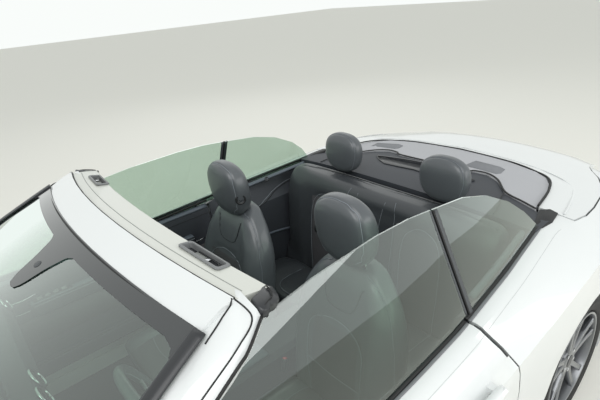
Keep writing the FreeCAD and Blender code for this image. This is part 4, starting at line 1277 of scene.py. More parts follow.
@dataclass
class HeaderTrim:
    """What shows on the windscreen's frame: gaps, seals, latch pockets, corner brackets and the printed band.

    Attributes:
        half: Half the header's width.
        rear_line: The gap behind the header: y and z at the middle and at the end.
        front_line: The same for the seal along the glass.
        step_line: The same for the step of the landing panel.
        glass_base: The middle and the corner of the glass's lower edge.
        glass_top: The same for its upper edge.
        crown: How far the glass bulges.
        latch: The left latch pocket's middle.
        latch_size: Its length and width.
        latch_turn: How far it is turned, in degrees.
    """

    half: float = 590.0
    rear_line: Line = ((-185, 1353), (-120, 1319))
    front_line: Line = ((-273, 1316), (-209, 1284))
    step_line: Line = ((-150, 1344.5), (-86, 1310.5))
    glass_base: Line = ((0, -1010, 1000), (745, -850, 950))
    glass_top: Line = ((0, -268, 1318), (602, -206, 1286))
    crown: float = 10.0
    latch: Point = (391, -79, 1323)
    latch_size: tuple[float, float] = (154, 34)
    latch_turn: float = 6.0

    def build(self) -> None:
        """Make every piece."""
        shares = [i / 8 for i in range(-8, 9)]
        base = ("windscreen_frame",)
        # The moulding and its lip cover the edge of the glass, up the slope from the base.
        climbs = (1.0, 0.85, 0.65, 0.45, 0.25, 0.08)
        build_all(
            Strip("header_gap", RUBBER, circle(2.6), self.across(shares, self.rear_line)),
            Strip("windscreen_top_seal", RUBBER, oblong(8, 6), self.across(shares, self.front_line, 0.985)),
            # Painted shade: a thin grey line where the landing panel steps down.
            Strip("landing_step", STEP_GREY, circle(1.1), self.across(shares, self.step_line, 0.97),
                  base=("header_panel",), way=DOWN, lift=0.1),
            Strip("pillar_gap_{side}", RUBBER, circle(2.0),
                  [(584, -118, 1330), (618, -113, 1325), (644, -116, 1320), (660, -138, 1310),
                   (671, -180, 1290),
                   (679, -240, 1264), (698, -400, 1188), (718, -600, 1085), (737, -780, 990), (743, -850, 955)],
                  base=base, way=DOWN, steps=8),
            Strip("pillar_outer_seal_{side}", RUBBER, oblong(5, 8),
                  [(653, -98, 1294), (687, -160, 1265), (699, -205, 1247), (725, -400, 1138), (745, -600, 1039),
                   (762, -780, 950), (766, -868, 916)]),
            Strip("pillar_seam_{side}", RUBBER, circle(2.0),
                  [(586, -116, 1327), (603, -168, 1312), (614, -213, 1290)],
                  base=base, way=DOWN, lift=0.2, steps=8),
            Strip("windscreen_side_moulding_{side}", SATIN_BLACK, oblong(32, 9),
                  [self.on_screen(0.985, t, 4.0) for t in climbs], Vector((0.2, -0.4, 0.9))),
            Strip("windscreen_side_lip_{side}", GREY_STRIP, circle(2.2),
                  [self.on_screen(0.963, t, 6.0) for t in climbs]),
            Strip("windscreen_base_seal", RUBBER, oblong(14, 8),
                  [(740 * t, -1012 + 160 * t * t, 1004 - 50 * t * t) for t in shares]),
            Slab("header_bracket_{side}", SATIN_BLACK,
                 [(583, -44, 1305), (594, -58, 1308), (606, -88, 1311), (632, -94, 1310), (652, -93, 1308),
                  (656, -77, 1301), (644, -70, 1299), (638, -46, 1293), (630, -33, 1291), (614, -24, 1291),
                  (588, -20, 1296), (577, -30, 1301)], 24, 3),
            Strip("bracket_seam_{side}", RUBBER, circle(1.6),
                  [(584, -34, 1303), (604, -36, 1300), (622, -46, 1300), (630, -62, 1303), (640, -80, 1304)],
                  steps=4))
        self.latches()
        self.printed_band()

    def across(self, shares: list[float], line: Line, reach: float = 1.0) -> Line:
        """A line across the header."""
        (y0, z0), (y1, z1) = line
        return [(self.half * t, y0 + (y1 - y0) * t * t, z0 + (z1 - z0) * t * t)
                for t in (s * reach for s in shares)]

    def in_latch(self, u: float, v: float, w: float) -> Vector:
        """A place in the latch pocket's own frame, which follows the panel's fall."""
        turn = math.radians(self.latch_turn)
        return Vector(self.latch) + Vector((u * math.cos(turn) - v * math.sin(turn),
                                            u * math.sin(turn) + v * math.cos(turn), w - 0.075 * u - 0.22 * v))

    def latches(self) -> None:
        """Line the latch pockets and add their rims and keepers."""
        corner = [(1 - 0.11 * (1 - math.cos(a)), 1 - 0.5 * (1 - math.sin(a))) for a in
                  (math.radians(15 * i) for i in range(7))]
        outline = corner + [(-u, v) for u, v in corner[::-1]]
        outline += [(-u, -v) for u, v in outline]
        length, width = self.latch_size
        # The rim stands over the panel and the pocket sinks into it. Columns: growth, height.
        rings = [[self.in_latch(u * (length / 2 + grow), v * (width / 2 + grow), w) for u, v in outline]
                 for grow, w in ((5, -1), (5, 2), (2, 4.5), (-2, 4.5), (-3, 2), (-3.5, -13))]
        points, faces = skin(rings, capped=False)
        faces.append(tuple(range(len(points) - len(outline), len(points))))
        for side in Side:
            make_piece("latch_pocket_" + side.word, points, faces, LATCH_GREY, side=side, smooth=False)
        # Columns: name, first and last place along the pocket, and across it, height, surface.
        for name, low, high, near, far, lift, finish in (
                ("recess", -68, -42, -11, 9, -9.5, SATIN_BLACK), ("slot", 18, 64, -11, 6, -9.5, SATIN_BLACK),
                ("keeper", 14, 24, -9, 5, -3.0, CHROME), ("groove", -38, 66, 10, 13, -8.5, SATIN_BLACK),
                ("step", -36, 10, -12, 6, -8.0, STEP_GREY)):
            corners = [self.in_latch(*corner) for corner in level((low, high), (near, far), lift)]
            Slab("latch_%s_{side}" % name, finish, corners, 5.0, 1.0).build()

    def on_screen(self, share: float, climb: float, out: float) -> Vector:
        """A place on the windscreen.

        Args:
            share: The place across, as a share of the half width.
            climb: The place up the slope, from 0 to 1.
            out: How far outside the glass, in millimetres.

        Returns:
            The place in millimetres.
        """
        low, high = (Vector((corner[0] * share, *(a + (b - a) * share * share
                                                  for a, b in zip(centre[1:], corner[1:]))))
                     for centre, corner in (self.glass_base, self.glass_top))
        slope = Vector(self.glass_top[0]) - Vector(self.glass_base[0])
        inward = Vector((0, slope.z, -slope.y)).normalized()
        bulge = 4 * self.crown * climb * (1 - climb)
        return low + (high - low) * climb - inward * (bulge + out)

    def printed_band(self) -> None:
        """Add the black print round the windscreen, with its tongue behind the mirror."""
        # The band's lower edge. Columns: share across, place up the slope.
        lower = [(0.0, 0.742), (0.03, 0.747), (0.055, 0.772), (0.085, 0.86), (0.125, 0.925), (0.16, 0.938),
                 (0.88, 0.938), (0.93, 0.922), (0.955, 0.89), (1.0, 0.88)]
        shares, rows, lift = [i / 100 - 1 for i in range(201)], 8, 2.2
        top = [[self.on_screen(t, 1 - (1 - table(lower, abs(t), eased=False)) * j / rows, lift)
                for j in range(rows + 1)] for t in shares]
        foot = [self.on_screen(0.02 * math.cos(a), 0.845 + 0.014 * math.sin(a), 3.4) for a in angles(20)]
        build_all(Sheet("windscreen_print_top", GLASS_PRINT, top),
                  Sheet("windscreen_print_base", GLASS_PRINT,
                        [[self.on_screen(t, climb, lift) for t in shares] for climb in (0.0, 0.07)]),
                  Sheet("windscreen_print_{side}", GLASS_PRINT,
                        [[self.on_screen(t, j / 24, lift) for t in (1.0, 0.952)] for j in range(25)]),
                  Slab("rain_sensor_window", GREY_STRIP, foot, 1.2, 0.3))


@dataclass
class SideTrim:
    """Seals, mouldings and strips along the doors and quarter windows.

    Attributes:
        door: Places along the door's belt line.
        quarter: Places along the quarter panel's belt line.
        door_rear: y and z down the door's rear edge.
        cap: The outline of the cap at the belt's rear end.
    """

    door: tuple[float, ...] = (-842, -700, -400, -100, 100, 300, 450, 551)
    quarter: tuple[float, ...] = (564, 650, 750, 850, 950, 1060, 1176)
    door_rear: Outline = ((548, 306), (603, 380), (643, 500), (653, 640), (635, 770), (607, 838))
    cap: Line = ((712, 1250, 984), (700, 1330, 990), (668, 1330, 998), (640, 1292, 1002), (668, 1182, 988),
                 (702, 1182, 984))

    def build(self) -> None:
        """Make every strip."""
        inward, shell, quarters, fenders = -ACROSS, "door_shell_left", "quarter_panels", "front_fenders"
        rear_gap = [(905, y, z) for y, z in self.door_rear[:-1]] + [(900, *self.door_rear[-1])]
        build_all(
            Strip("belt_seal_{side}", RUBBER, oblong(10, 12), [belt(y, -5, 2) for y in self.door], body=DOOR),
            Strip("belt_moulding_{side}", BELT_GREY, oblong(9, 7),
                  [belt(y, 4.5, 2) for y in (-842, -400, 100, 450, 551)], body=DOOR),
            Strip("quarter_seal_{side}", RUBBER, oblong(12, 12), [belt(y, -6, 2) for y in self.quarter]),
            Strip("quarter_moulding_{side}", BELT_GREY, oblong(10, 7), [belt(y, 5, 2) for y in self.quarter]),
            # Painted shade: soft grey lines where the white roll under the belt turns under, on the doors and the
            # quarter panels.
            Strip("door_roll_line_{side}", ROLL_SHADE_LINE, circle(1.0),
                  [belt(y, 56, -20) for y in (-843, -600, -300, 0, 300, 500, 566)], base=(shell,), lift=-0.5,
                  way=SLANT, body=DOOR),
            Strip("quarter_roll_line_{side}", ROLL_SHADE_LINE, circle(1.0),
                  [belt(y, 56, -20) for y in (590, 700, 850, 1000, 1180, 1230)], base=(quarters,), lift=-0.5,
                  way=SLANT),
            Strip("inner_belt_seal_{side}", RUBBER, oblong(8, 10),
                  [belt(y, -22, -4) for y in (-780, -600, -400, -100, 100, 300, 500)], body=DOOR),
            Strip("quarter_strip_{side}", GREY_STRIP, oblong(6, 20),
                  [on_glass(596, z, 2) for z in (905, 1000, 1120, 1254)], ALONG),
            Strip("quarter_strip_seal_{side}", RUBBER, oblong(9, 7),
                  [on_glass(586, z, 1) for z in (930, 1000, 1120, 1255)], ALONG),
            Strip("door_glass_edge_{side}", GREY_STRIP, oblong(8, 9),
                  [on_glass(574, z, -2) for z in (945, 1000, 1120, 1256)], ALONG, body=DOOR),
            Strip("shoulder_seam_{side}", RUBBER, circle(1.4), [(845, 1560, 960), (810, 1640, 962)]),
            ShutLine("door_rear_gap_{side}", GAP_SEAL, (quarters, shell), rear_gap, ALONG, inward),
            ShutLine("door_shoulder_gap_{side}", GAP_SEAL, (quarters, shell),
                     [(872, 600, 862), (850, 588, 890), (820, 570, 925), (780, 563, 940)], ALONG, SLANT, 5.0, 2.8),
            ShutLine("door_front_gap_{side}", GAP_SEAL, (fenders, shell),
                     [(900, -853, z) for z in (330, 450, 600, 780)], ALONG, inward),
            ShutLine("fender_shoulder_gap_{side}", GAP_SEAL, (fenders, shell),
                     [(885, -853, 810), (850, -853, 870), (810, -853, 905), (776, -853, 912)], ALONG, SLANT),
            ShutLine("door_sill_gap_{side}", GAP_SEAL, ("sills", shell),
                     [(890, y, 297) for y in (-800, -500, 0, 300, 520)], UP, inward),
            ShutLine("bonnet_gap_{side}", GAP_SEAL, (fenders, "bonnet"),
                     [(678, -1780, 850), (690, -1553, 880), (700, -1300, 905), (703, -1110, 930)], ACROSS, DOWN),
            ShutLine("boot_gap_{side}", GAP_SEAL, (quarters, "boot_lid"),
                     [(775, 1430, 985), (771, 1520, 985), (751, 1660, 985), (715, 1790, 975), (663, 1905, 965),
                      (606, 1998, 955)], Vector((1, 0.3, 0)).normalized(), DOWN),
            Slab("belt_end_cap_{side}", BLACK_PLASTIC, self.cap, 14, 2))


@dataclass
class RearDeck:
    """The roof cover's recesses and edges, the blocker's slot and the lid's ridge.

    Attributes:
        cover_edge: The cover's front edge.
        lid_edge: Its rear edge along the boot lid.
        ridge: The ridge on the boot lid.
        slot: The blocker slot's ends and middle, as x and y.
    """

    cover_edge: Line = ((0, 1466, 1017), (200, 1468, 1016), (240, 1491, 1015), (305, 1497, 1014),
                        (376, 1459, 1011), (462, 1361, 1006), (560, 1325, 1000), (622, 1302, 996))
    lid_edge: Line = ((618, 1334, 996), (600, 1440, 996), (584, 1520, 995), (556, 1606, 993), (516, 1668, 990),
                      (457, 1702, 991), (298, 1741, 1000), (0, 1757, 1007))
    ridge: Line = ((0, 1800, 1004), (307, 1776, 998), (516, 1733, 985), (619, 1674, 975), (660, 1595, 976),
                   (697, 1455, 980), (716, 1352, 981))
    slot: Outline = ((-180, 1303), (0, 1320), (180, 1303), (300, 1385), (0, 1428), (-300, 1385))

    def build(self) -> None:
        """Make every piece."""
        # The cover has one finer-grained inlay on each side, not at the same place.
        left, right = (self.draped(corners, 1015.5, 50, 800) for corners in (
            [(160, 1534), (330, 1528), (344, 1550), (334, 1612), (300, 1626), (170, 1624)],
            [(-470, 1528), (-300, 1545), (-290, 1570), (-300, 1622), (-340, 1634), (-480, 1600)]))
        lip = [(x * 0.98, y, z) for x, y, z in
               self.draped([(-300, 1385), (-150, 1412), (0, 1426), (150, 1412), (300, 1385)], 1018.5, 30, 700)]
        low = self.draped([(-300, 1383), (-180, 1303), (0, 1320), (180, 1303), (300, 1383)], 1018, 30, 700)
        build_all(Strip("cover_front_gap_{side}", RUBBER, oblong(9, 5), self.cover_edge),
                  Strip("cover_rear_seal_{side}", RUBBER, oblong(9, 6), self.lid_edge),
                  Strip("parcel_seam_{side}", RUBBER, circle(2.2),
                        [(462, 1352, 1006), (476, 1290, 1008), (500, 1240, 1008), (520, 1145, 998)]),
                  Strip("lid_ridge_{side}", WHITE_PAINT, oblong(9, 3), self.ridge, body="boot_cover"),
                  Slab("cover_inlay_left", INLAY_GREY, left, 4, 1),
                  Slab("cover_inlay_right", INLAY_GREY, right, 4, 1),
                  Slab("blocker_slot", SATIN_BLACK, self.draped(self.slot, 1009, 0, 1), 6, 1),
                  Strip("blocker_slot_lip", SATIN_BLACK, oblong(10, 6), lip),
                  Strip("blocker_slot_edge", SATIN_BLACK, circle(3), low, steps=2))

    def draped(self, corners: Outline, rise: float, fall: float, reach: float) -> Line:
        """Lay an outline over the deck's crown."""
        return [(x, y, rise - fall * (abs(x) / reach) ** 2) for x, y in corners]


@dataclass
class Exterior:
    """The outer details: lamps, mirrors, handles, grille bars, wipers and exhaust tips.

    Attributes:
        screen: The windscreen that the wipers lie on.
        lamp_low: The line of the headlamps' light strip.
        tail_mid: The line of the tail lamps' bright strip.
        bar_x: Places along the grille's bars.
        handle_level: The door handle's height.
    """

    screen: HeaderTrim = field(default_factory=HeaderTrim)
    lamp_low: Line = ((470, -2292, 622), (640, -2248, 618), (790, -2125, 628), (850, -2010, 652))
    tail_mid: Line = ((806, 2070, 778), (760, 2140, 780), (700, 2190, 784), (620, 2225, 790))
    bar_x: tuple[float, ...] = (-410, -200, 0, 200, 410)
    handle_level: float = 823.0

    def build(self) -> None:
        """Make every piece."""
        build_all(
            Strip("headlamp_strip_{side}", LAMP_WHITE, oblong(6, 8), self.lamp_low, base=("headlamps",), lift=0.5),
            Strip("tail_lamp_strip_{side}", LAMP_BRIGHT, oblong(7, 9), self.tail_mid, base=("tail_lamps",)),
            Strip("reversing_lamp_{side}", LAMP_WHITE, oblong(6, 8), [(x, y, z - 30) for x, y, z in
                                                                      self.tail_mid[1:]],
                  base=("tail_lamps",)),
            *(Strip(name, finish, oblong(8, 9), [(x, -2300, z) for x in self.bar_x], base=("grille",),
                    way=ALONG)
              for name, finish, z in (("grille_bar_high", CHROME, 600), ("grille_bar_low", SATIN_BLACK, 352))),
            Strip("rear_reflector_{side}", LAMP_RED, oblong(6, 22),
                  [(x, 2300, 330) for x in (500, 560, 620, 680)],
                  base=("rear_bumper",), lift=2.0, way=-ALONG, steps=2),
            Strip("bonnet_crease_{side}", WHITE_PAINT, circle(5, 12),
                  [(560, -1120, 960), (520, -1450, 940), (470, -1800, 880), (430, -2150, 800)],
                  base=("bonnet",), lift=-3.0, way=DOWN, steps=8, body="bonnet_lid"),
            Strip("mirror_indicator_{side}", AMBER, oblong(4, 7),
                  [(1008, -650, 985), (1004, -690, 985), (985, -714, 985), (940, -716, 985)],
                  base=("door_shell_left",), body=DOOR),
            Turned("exhaust_tip_{side}", CHROME, [(-45, 27), (-45, 31), (26, 33), (29, 31), (26, 28)],
                   (400, 2288, 199), ALONG))
        self.handles()
        self.mirrors()
        self.headlamps()
        self.wipers()
        loop = [(890, 1030 + 78 * math.cos(a), 800 + 72 * math.sin(a)) for a in angles(16) + [math.tau]]
        line = Surfaces.laid(("quarter_panels",), flow(loop, 3), -0.3, -ACROSS)
        make_piece("fuel_flap_line", *sweep(line, circle(1.2), ACROSS), GAP_SEAL, side=Side.RIGHT)

    def handles(self) -> None:
        """Add the rounded grips over the door handles."""
        # Columns: place along the car, half height, outer face, inner face.
        rows = [(322, 5, 913, 900), (328, 14, 921, 897), (345, 20, 929, 896), (380, 22, 932.5, 896),
                (440, 22, 932.5, 896), (478, 20, 930, 896), (496, 14, 922, 897), (503, 5, 914, 900)]
        rings = [[Vector(((outer + inner + (outer - inner) * math.cos(a)) / 2, y,
                          self.handle_level + half * math.sin(a))) for a in angles(20)]
                 for y, half, outer, inner in rows]
        for side in Side:
            piece = make_piece("door_handle_" + side.word, *skin(rings), WHITE_PAINT, side.word + "_door", side)
            outward(piece)
            refine(piece)

    def mirrors(self) -> None:
        """Add the outside mirrors' glass and their dark rims."""
        corners = [(894, 948), (896, 1016), (910, 1032), (985, 1032), (997, 1016), (997, 950), (985, 936), (898, 936)]
        for name, grow, y, finish in (("mirror_rim_{side}", 5, -621, SATIN_BLACK),
                                      ("mirror_glass_{side}", 0, -618, MIRROR)):
            outline = [(x + (grow if x > 945 else -grow), y, z + (grow if z > 984 else -grow))
                       for x, z in corners]
            Slab(name, finish, outline, 5, 1.5, body=DOOR).build()

    def headlamps(self) -> None:
        """Add two projector lenses with their bowls behind each lamp's cover."""
        for number, (place, way) in enumerate((((545, -2222, 662), (0.3, -0.95, 0.05)),
                                               ((672, -2168, 664), (0.42, -0.9, 0.05)))):
            for name, profile, finish in (
                    ("bowl", [(-24, 20), (-24, 24), (12, 40), (15, 38), (14, 34)], CHROME),
                    ("lens", [(-6, 0.5), (-6, 29), (4, 29), (14, 20), (18, 0.5)], LAMP_CLEAR)):
                Turned("lamp_%s_%d_{side}" % (name, number), finish, profile, place, Vector(way), 32).build()

    def wipers(self) -> None:
        """Park two wipers along the foot of the windscreen."""
        on = self.screen.on_screen
        # Columns: root and tip of the arm, both ends of the blade, as shares across.
        for number, (root, tip, low, high) in enumerate(((0.72, 0.22, -0.12, 0.6),
                                                         (-0.08, -0.55, -0.88, -0.2))):
            arm = [on(root, -0.06, 10), on(root - 0.1, -0.02, 16), on((root + tip) / 2, 0.02, 18),
                   on(tip, 0.06, 14)]
            blade = [on(low + (high - low) * i / 6, 0.07, 9) for i in range(7)]
            Strip("wiper_arm_%d" % number, SATIN_BLACK, oblong(14, 7), arm, steps=4).build()
            Strip("wiper_blade_%d" % number, RUBBER, oblong(7, 13), blade, steps=1).build()


@dataclass
class Interior:
    """The cabin's details: steering wheel, dials, vents, screen, console and door cards.

    Attributes:
        wheel_centre: The middle of the steering wheel in millimetres.
        wheel_axis: The way that it faces.
        grip: The rim's radius.
        pad: Half the width and half the height of the wheel's pad.
        vent_x: The vents' places across the car.
        vent_radius: Their opening's radius.
        arch: The arched seam on the rear side trim.
    """

    wheel_centre: Point = (365, -262, 898)
    wheel_axis: Vector = Vector((0, 0.9063, 0.4226))
    grip: float = 172
    pad: tuple[float, float] = (66, 54)
    vent_x: tuple[float, ...] = (640, 100, 0, -100, -640)
    vent_radius: float = 33
    arch: Line = ((700, 700, 790), (700, 793, 823), (700, 862, 842), (700, 943, 866), (700, 1033, 881),
                  (700, 1122, 878))

    def build(self) -> None:
        """Make every piece."""
        for make in (self.steering_wheel, self.dashboard, self.dials, self.console, self.door_cards,
                     self.rear_trim):
            make()

    def on_wheel(self, u: float, v: float, w: float) -> Vector:
        """A place in the steering wheel's own frame."""
        axis = self.wheel_axis
        return Vector(self.wheel_centre) + ACROSS * u + Vector((0, -axis.z, axis.y)) * v + axis * w

    def steering_wheel(self) -> None:
        """Make the wheel's rim, stitched grip, spokes and pad, and the stalks and shroud behind it."""
        axis, centre, body = self.wheel_axis, self.wheel_centre, "steering"
        rim = make_piece("steering_rim", *lathe([(15 * math.cos(a), self.grip + 14 * math.sin(a))
                                                 for a in angles(14)],
                                                80, centre, axis), LEATHER, body)
        outward(rim)
        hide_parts("steering_wheel")
        stitch = [(1.2 * math.cos(a), self.grip - 14 + 1.2 * math.sin(a)) for a in angles(14)]
        parts = [Turned("steering_rim_stitch", THREAD, stitch, centre, axis, 80, body=body),
                 Turned("steering_hub", BLACK_PLASTIC,
                        [(-40, 0.5), (-40, 34), (-22, 44), (-14, 44), (-14, 0.5)], centre, axis, body=body),
                 Strip("column_shroud", SOFT_TRIM, oblong(104, 84, 0.4), [self.on_wheel(0, -6, w) for w in
                                                                          (-54, -70, -130, -200)], steps=1)]
        for name, (u, v), lean in (("left", (1, 0), -5), ("right", (-1, 0), -5), ("low", (0, -1), 0)):
            path = [self.on_wheel(u * r, v * r + lean * (r < 150), w) for r, w in
                    ((40, -12), (75, -6), (110, -2), (145, 0), (161, 0))]
            parts += [Strip("steering_spoke_" + name, RIM_SILVER, oblong(34, 9), path, axis, 4, body=body),
                      Strip("spoke_switches_" + name, SATIN_BLACK, oblong(22, 4),
                            [p + axis * 5 for p in path[1:-1]], axis, 3, body=body)]
        for name, way in (("left", 1), ("right", -1)):
            path = [self.on_wheel(way * r, 8 + r * 0.1, -74) for r in (40, 80, 120, 150)]
            parts.append(Strip("column_stalk_" + name, BLACK_PLASTIC, oblong(9, 14, 0.4), path, axis, 3))
        build_all(*parts)
        wide, tall = self.pad
        corners = [[math.copysign(abs(turn(a)) ** 0.7, turn(a)) for turn in (math.cos, math.sin)]
                   for a in angles(32)]
        rings = [[self.on_wheel(wide * share * u, tall * share * v - 4, w) for u, v in corners] for share, w in
                 ((0.9, -24), (1.0, -16), (1.0, -4), (0.96, 4), (0.86, 10), (0.62, 14), (0.3, 15.5))]
        outward(make_piece("steering_pad", *skin(rings), SOFT_TRIM, body))

    def dashboard(self) -> None:
        """Add the round vents, the screen, the trim line, the glovebox and the mirror's glass."""
        face, rise, open_radius = Vector((0, 0.919, 0.394)), Vector((0, -0.394, 0.919)), self.vent_radius
        parts = []
        for number, x in enumerate(self.vent_x):
            centre = Vector((x, -493, 857))
            parts += [Turned("vent_ring_%d" % number, CHROME, [(-4, 33), (-4, 40), (5, 40), (7, 36), (5, 33)],
                             centre, face),
                      Turned("vent_well_%d" % number, SATIN_BLACK,
                             [(-3, 0.5), (-3, 33), (0.5, 33), (0.5, 0.5)], centre, face)]
            for row in (-18, 0, 18):
                half = math.sqrt(open_radius ** 2 - row ** 2) - 2
                line = [centre + ACROSS * t * half + rise * row + face * 3 for t in (-1, -0.33, 0.33, 1)]
                parts.append(Strip("vent_blade_%d_%d" % (number, row + 18), BLACK_PLASTIC, oblong(3, 5), line, steps=1))
        screen = [(-118, -584, 1046), (118, -584, 1046), (118, -560, 932), (-118, -560, 932)]
        glass = [(x * 0.95, y + 2.5, 989 + (z - 989) * 0.9) for x, y, z in screen]
        base = ("dashboard",)
        parts += [
            Strip("dash_trim_line", CHROME, circle(2.2), [(x, -470, 806) for x in (-690, -400, 0, 200)],
                  base=base, way=-ALONG),
            Strip("dash_stitch_{side}", THREAD, circle(1.1), [(x, -600, 930) for x in (20, 200, 205, 215)],
                  base=base, way=DOWN),
            Strip("glovebox_gap", RUBBER, circle(1.6),
                  [(-230, -520, 640), (-230, -500, 735), (-610, -500, 735), (-610, -520, 640)],
                  base=base, lift=-0.3, way=-ALONG, steps=12),
            Slab("screen_case", SATIN_BLACK, screen, 14, 3), Slab("screen_glass", GLASS_PRINT, glass, 3, 0.8),
            Slab("cabin_mirror_glass", MIRROR, upright((-112, 112), -224, (1219, 1265)), 3, 1)]
        build_all(*parts)

    def dials(self) -> None:
        """Add the two dials with blank scales and their needles."""
        parts = [Slab("dial_panel", SATIN_BLACK, upright((228, 502), -484, (838, 952)), 5, 2)]
        for number, x in enumerate((300, 430)):
            centre = Vector((x, -483, 893))
            parts.append(Turned("dial_ring_%d" % number, CHROME,
                                [(-2, 46), (-2, 50), (5, 50), (6, 48), (4, 46)], centre, ALONG, 48))
            for tick in range(13):
                angle = math.radians(-120 + 20 * tick)
                line = [centre + Vector((-math.sin(angle) * r, 0.8, math.cos(angle) * r)) for r in (36, 43)]
                parts.append(Strip("dial_tick_%d_%d" % (number, tick), LAMP_WHITE, oblong(1.6, 1.2), line, ALONG, 1))
            needle = [centre + Vector((0.6 * r, 2, -0.8 * r)) for r in (-6, 38)]
            parts.append(Strip("dial_needle_%d" % number, LAMP_BRIGHT, oblong(2.4, 1.4), needle, ALONG, 1))
        build_all(*parts)

    def console(self) -> None:
        """Add the control panel, the roller lid, the knob, the centre lid, the buckles and the pedals."""
        parts = [
            Slab("control_panel", SATIN_BLACK, upright((-98, 98), -498, (640, 742)), 4, 1.5),
            Turned("control_dial_{side}", CHROME, [(-2, 0.5), (-2, 17), (10, 15), (13, 12), (13, 0.5)],
                   (66, -496, 712), ALONG, 32),
            Slab("belt_buckle_{side}", SATIN_BLACK,
                 [(118, 285, 545), (138, 285, 545), (138, 310, 538), (118, 310, 538)], 60, 3),
            Slab("buckle_key_{side}", LAMP_BRIGHT, [(121, 288, 547), (135, 288, 547), (135, 304, 542.5),
                                                    (121, 304, 542.5)], 5, 1),
            Turned("console_knob", CHROME, [(0, 0.5), (0, 24), (18, 22), (22, 18), (23, 0.5)], (0, -170, 563))]
        for column in range(7):
            x = -78 + 26 * column
            key = upright((x - 10, x + 10), -494, (664, 678))
            parts.append(Slab("control_key_%d" % column, LATCH_GREY, key, 4, 1.5))
        # Columns: name, first and last place along the car, half width, height, thickness, surface.
        for name, low, high, half, rise, thickness, finish in (
                ("roller_lid", -450, -270, 78, 563, 4, SATIN_BLACK),
                ("console_lid", -70, 250, 88, 574, 16, DOOR_TOP),
                ("knob_plate", -240, -100, 60, 563, 4, SATIN_BLACK)):
            outline = [(half, low, rise), (half, high, rise), (-half, high, rise), (-half, low, rise)]
            parts.append(Slab(name, finish, outline, thickness, thickness / 3))
        for number, (x, half) in enumerate(((330, 34), (430, 24))):
            pad = [(x - half, -664, 372), (x + half, -664, 372), (x + half, -640, 300), (x - half, -640, 300)]
            arm = [(x, -664, 360), (x, -700, 440), (x, -700, 560), (x, -690, 640)]
            parts += [Slab("pedal_pad_%d" % number, RUBBER, pad, 12, 3),
                      Strip("pedal_arm_%d" % number, STEEL, oblong(16, 10), arm, ALONG, 4)]
        build_all(*parts)

    def door_cards(self) -> None:
        """Dress the doors' trims."""
        parts = [
            Strip("door_top_roll_{side}", DOOR_TOP, oblong(34, 24, 0.45), [(746, y, 893) for y in
                                                                           (-772, -300, 200, 492)], body=DOOR),
            Strip("door_card_stitch_{side}", DARK_PIPING, circle(1.2), [(727.5, y, 858) for y in
                                                                        (-770, -300, 200, 490)], body=DOOR),
            Strip("door_card_line_{side}", CHROME, oblong(4, 4),
                  [(727, -700, 742), (727, -300, 728), (727, 100, 720), (727, 460, 722)], body=DOOR),
            Strip("armrest_stitch_{side}", THREAD, circle(1.2), [(690, y, 762) for y in (-412, -100, 372)], body=DOOR),
            Strip("door_pull_{side}", CHROME, oblong(12, 9),
                  [(726, -540, 800), (708, -500, 806), (704, -430, 807), (726, -380, 802)], body=DOOR),
            Strip("door_pocket_edge_{side}", BLACK_PLASTIC, oblong(8, 8),
                  [(704, y, 472) for y in (-590, -200, 240)], body=DOOR),
            Slab("door_insert_{side}", INSERT_LEATHER,
                 [(725, -520, 690), (725, 450, 690), (725, 430, 560), (725, -560, 560)], 5, 2, body=DOOR),
            Slab("armrest_top_{side}", DOOR_TOP, level((694, 756), (-414, 374), 775), 8, 3, body=DOOR),
            Slab("switch_plate_{side}", SATIN_BLACK, level((700, 746), (-400, -240), 778), 5, 1.5, body=DOOR),
            Turned("door_speaker_{side}", INLAY_GREY, [(0, 0.5), (0, 62), (4, 60), (6, 50), (7, 0.5)],
                   (728, -668, 640), -ACROSS, 48, body=DOOR),
            Turned("lock_pull_{side}", SATIN_BLACK, [(0, 0.5), (0, 6), (14, 5), (16, 0.5)], (752, 440, 902),
                   UP, 20, body=DOOR)]
        for number in range(4):
            y = -385 + 34 * number
            key = [(708, y, 782), (738, y, 782), (738, y + 22, 784), (708, y + 22, 784)]
            parts.append(Slab("window_switch_%d_{side}" % number, LATCH_GREY, key, 6, 1.5, body=DOOR))
        build_all(*parts)

    def rear_trim(self) -> None:
        """Draw the seams of the rear side trims, and cover the posts behind the doors."""
        base = ("side_trims",)
        post = [(738, 514, 905), (738, 600, 925), (738, 662, 925), (738, 662, 350), (738, 514, 350)]
        build_all(Strip("rear_side_seam_{side}", THREAD, circle(1.5), self.arch, base=base, way=ACROSS),
                  Strip("rear_side_fold_{side}", DARK_PIPING, circle(2.4),
                        [(x, y, z - 9) for x, y, z in self.arch], base=base, way=ACROSS),
                  Strip("rear_arm_edge_{side}", DOOR_TOP, oblong(16, 12, 0.4),
                        [(680, 690, 640), (680, 791, 627), (680, 893, 615), (680, 1018, 591), (680, 1110, 580)],
                        base=base, lift=2.0, way=ACROSS),
                  Strip("rear_side_roll_{side}", DOOR_TOP, oblong(26, 18, 0.45),
                        [belt(y, -44, -8) for y in (674, 800, 900, 1000, 1130)]),
                  Turned("trim_socket_{side}", SATIN_BLACK, [(-6, 0.5), (-6, 9), (3, 15), (5, 13), (2, 0.5)],
                         (673, 862, 945), Vector((-1, 0, 0.4)), 28),
                  Slab("post_cover_{side}", SOFT_TRIM, post, 8, 2))


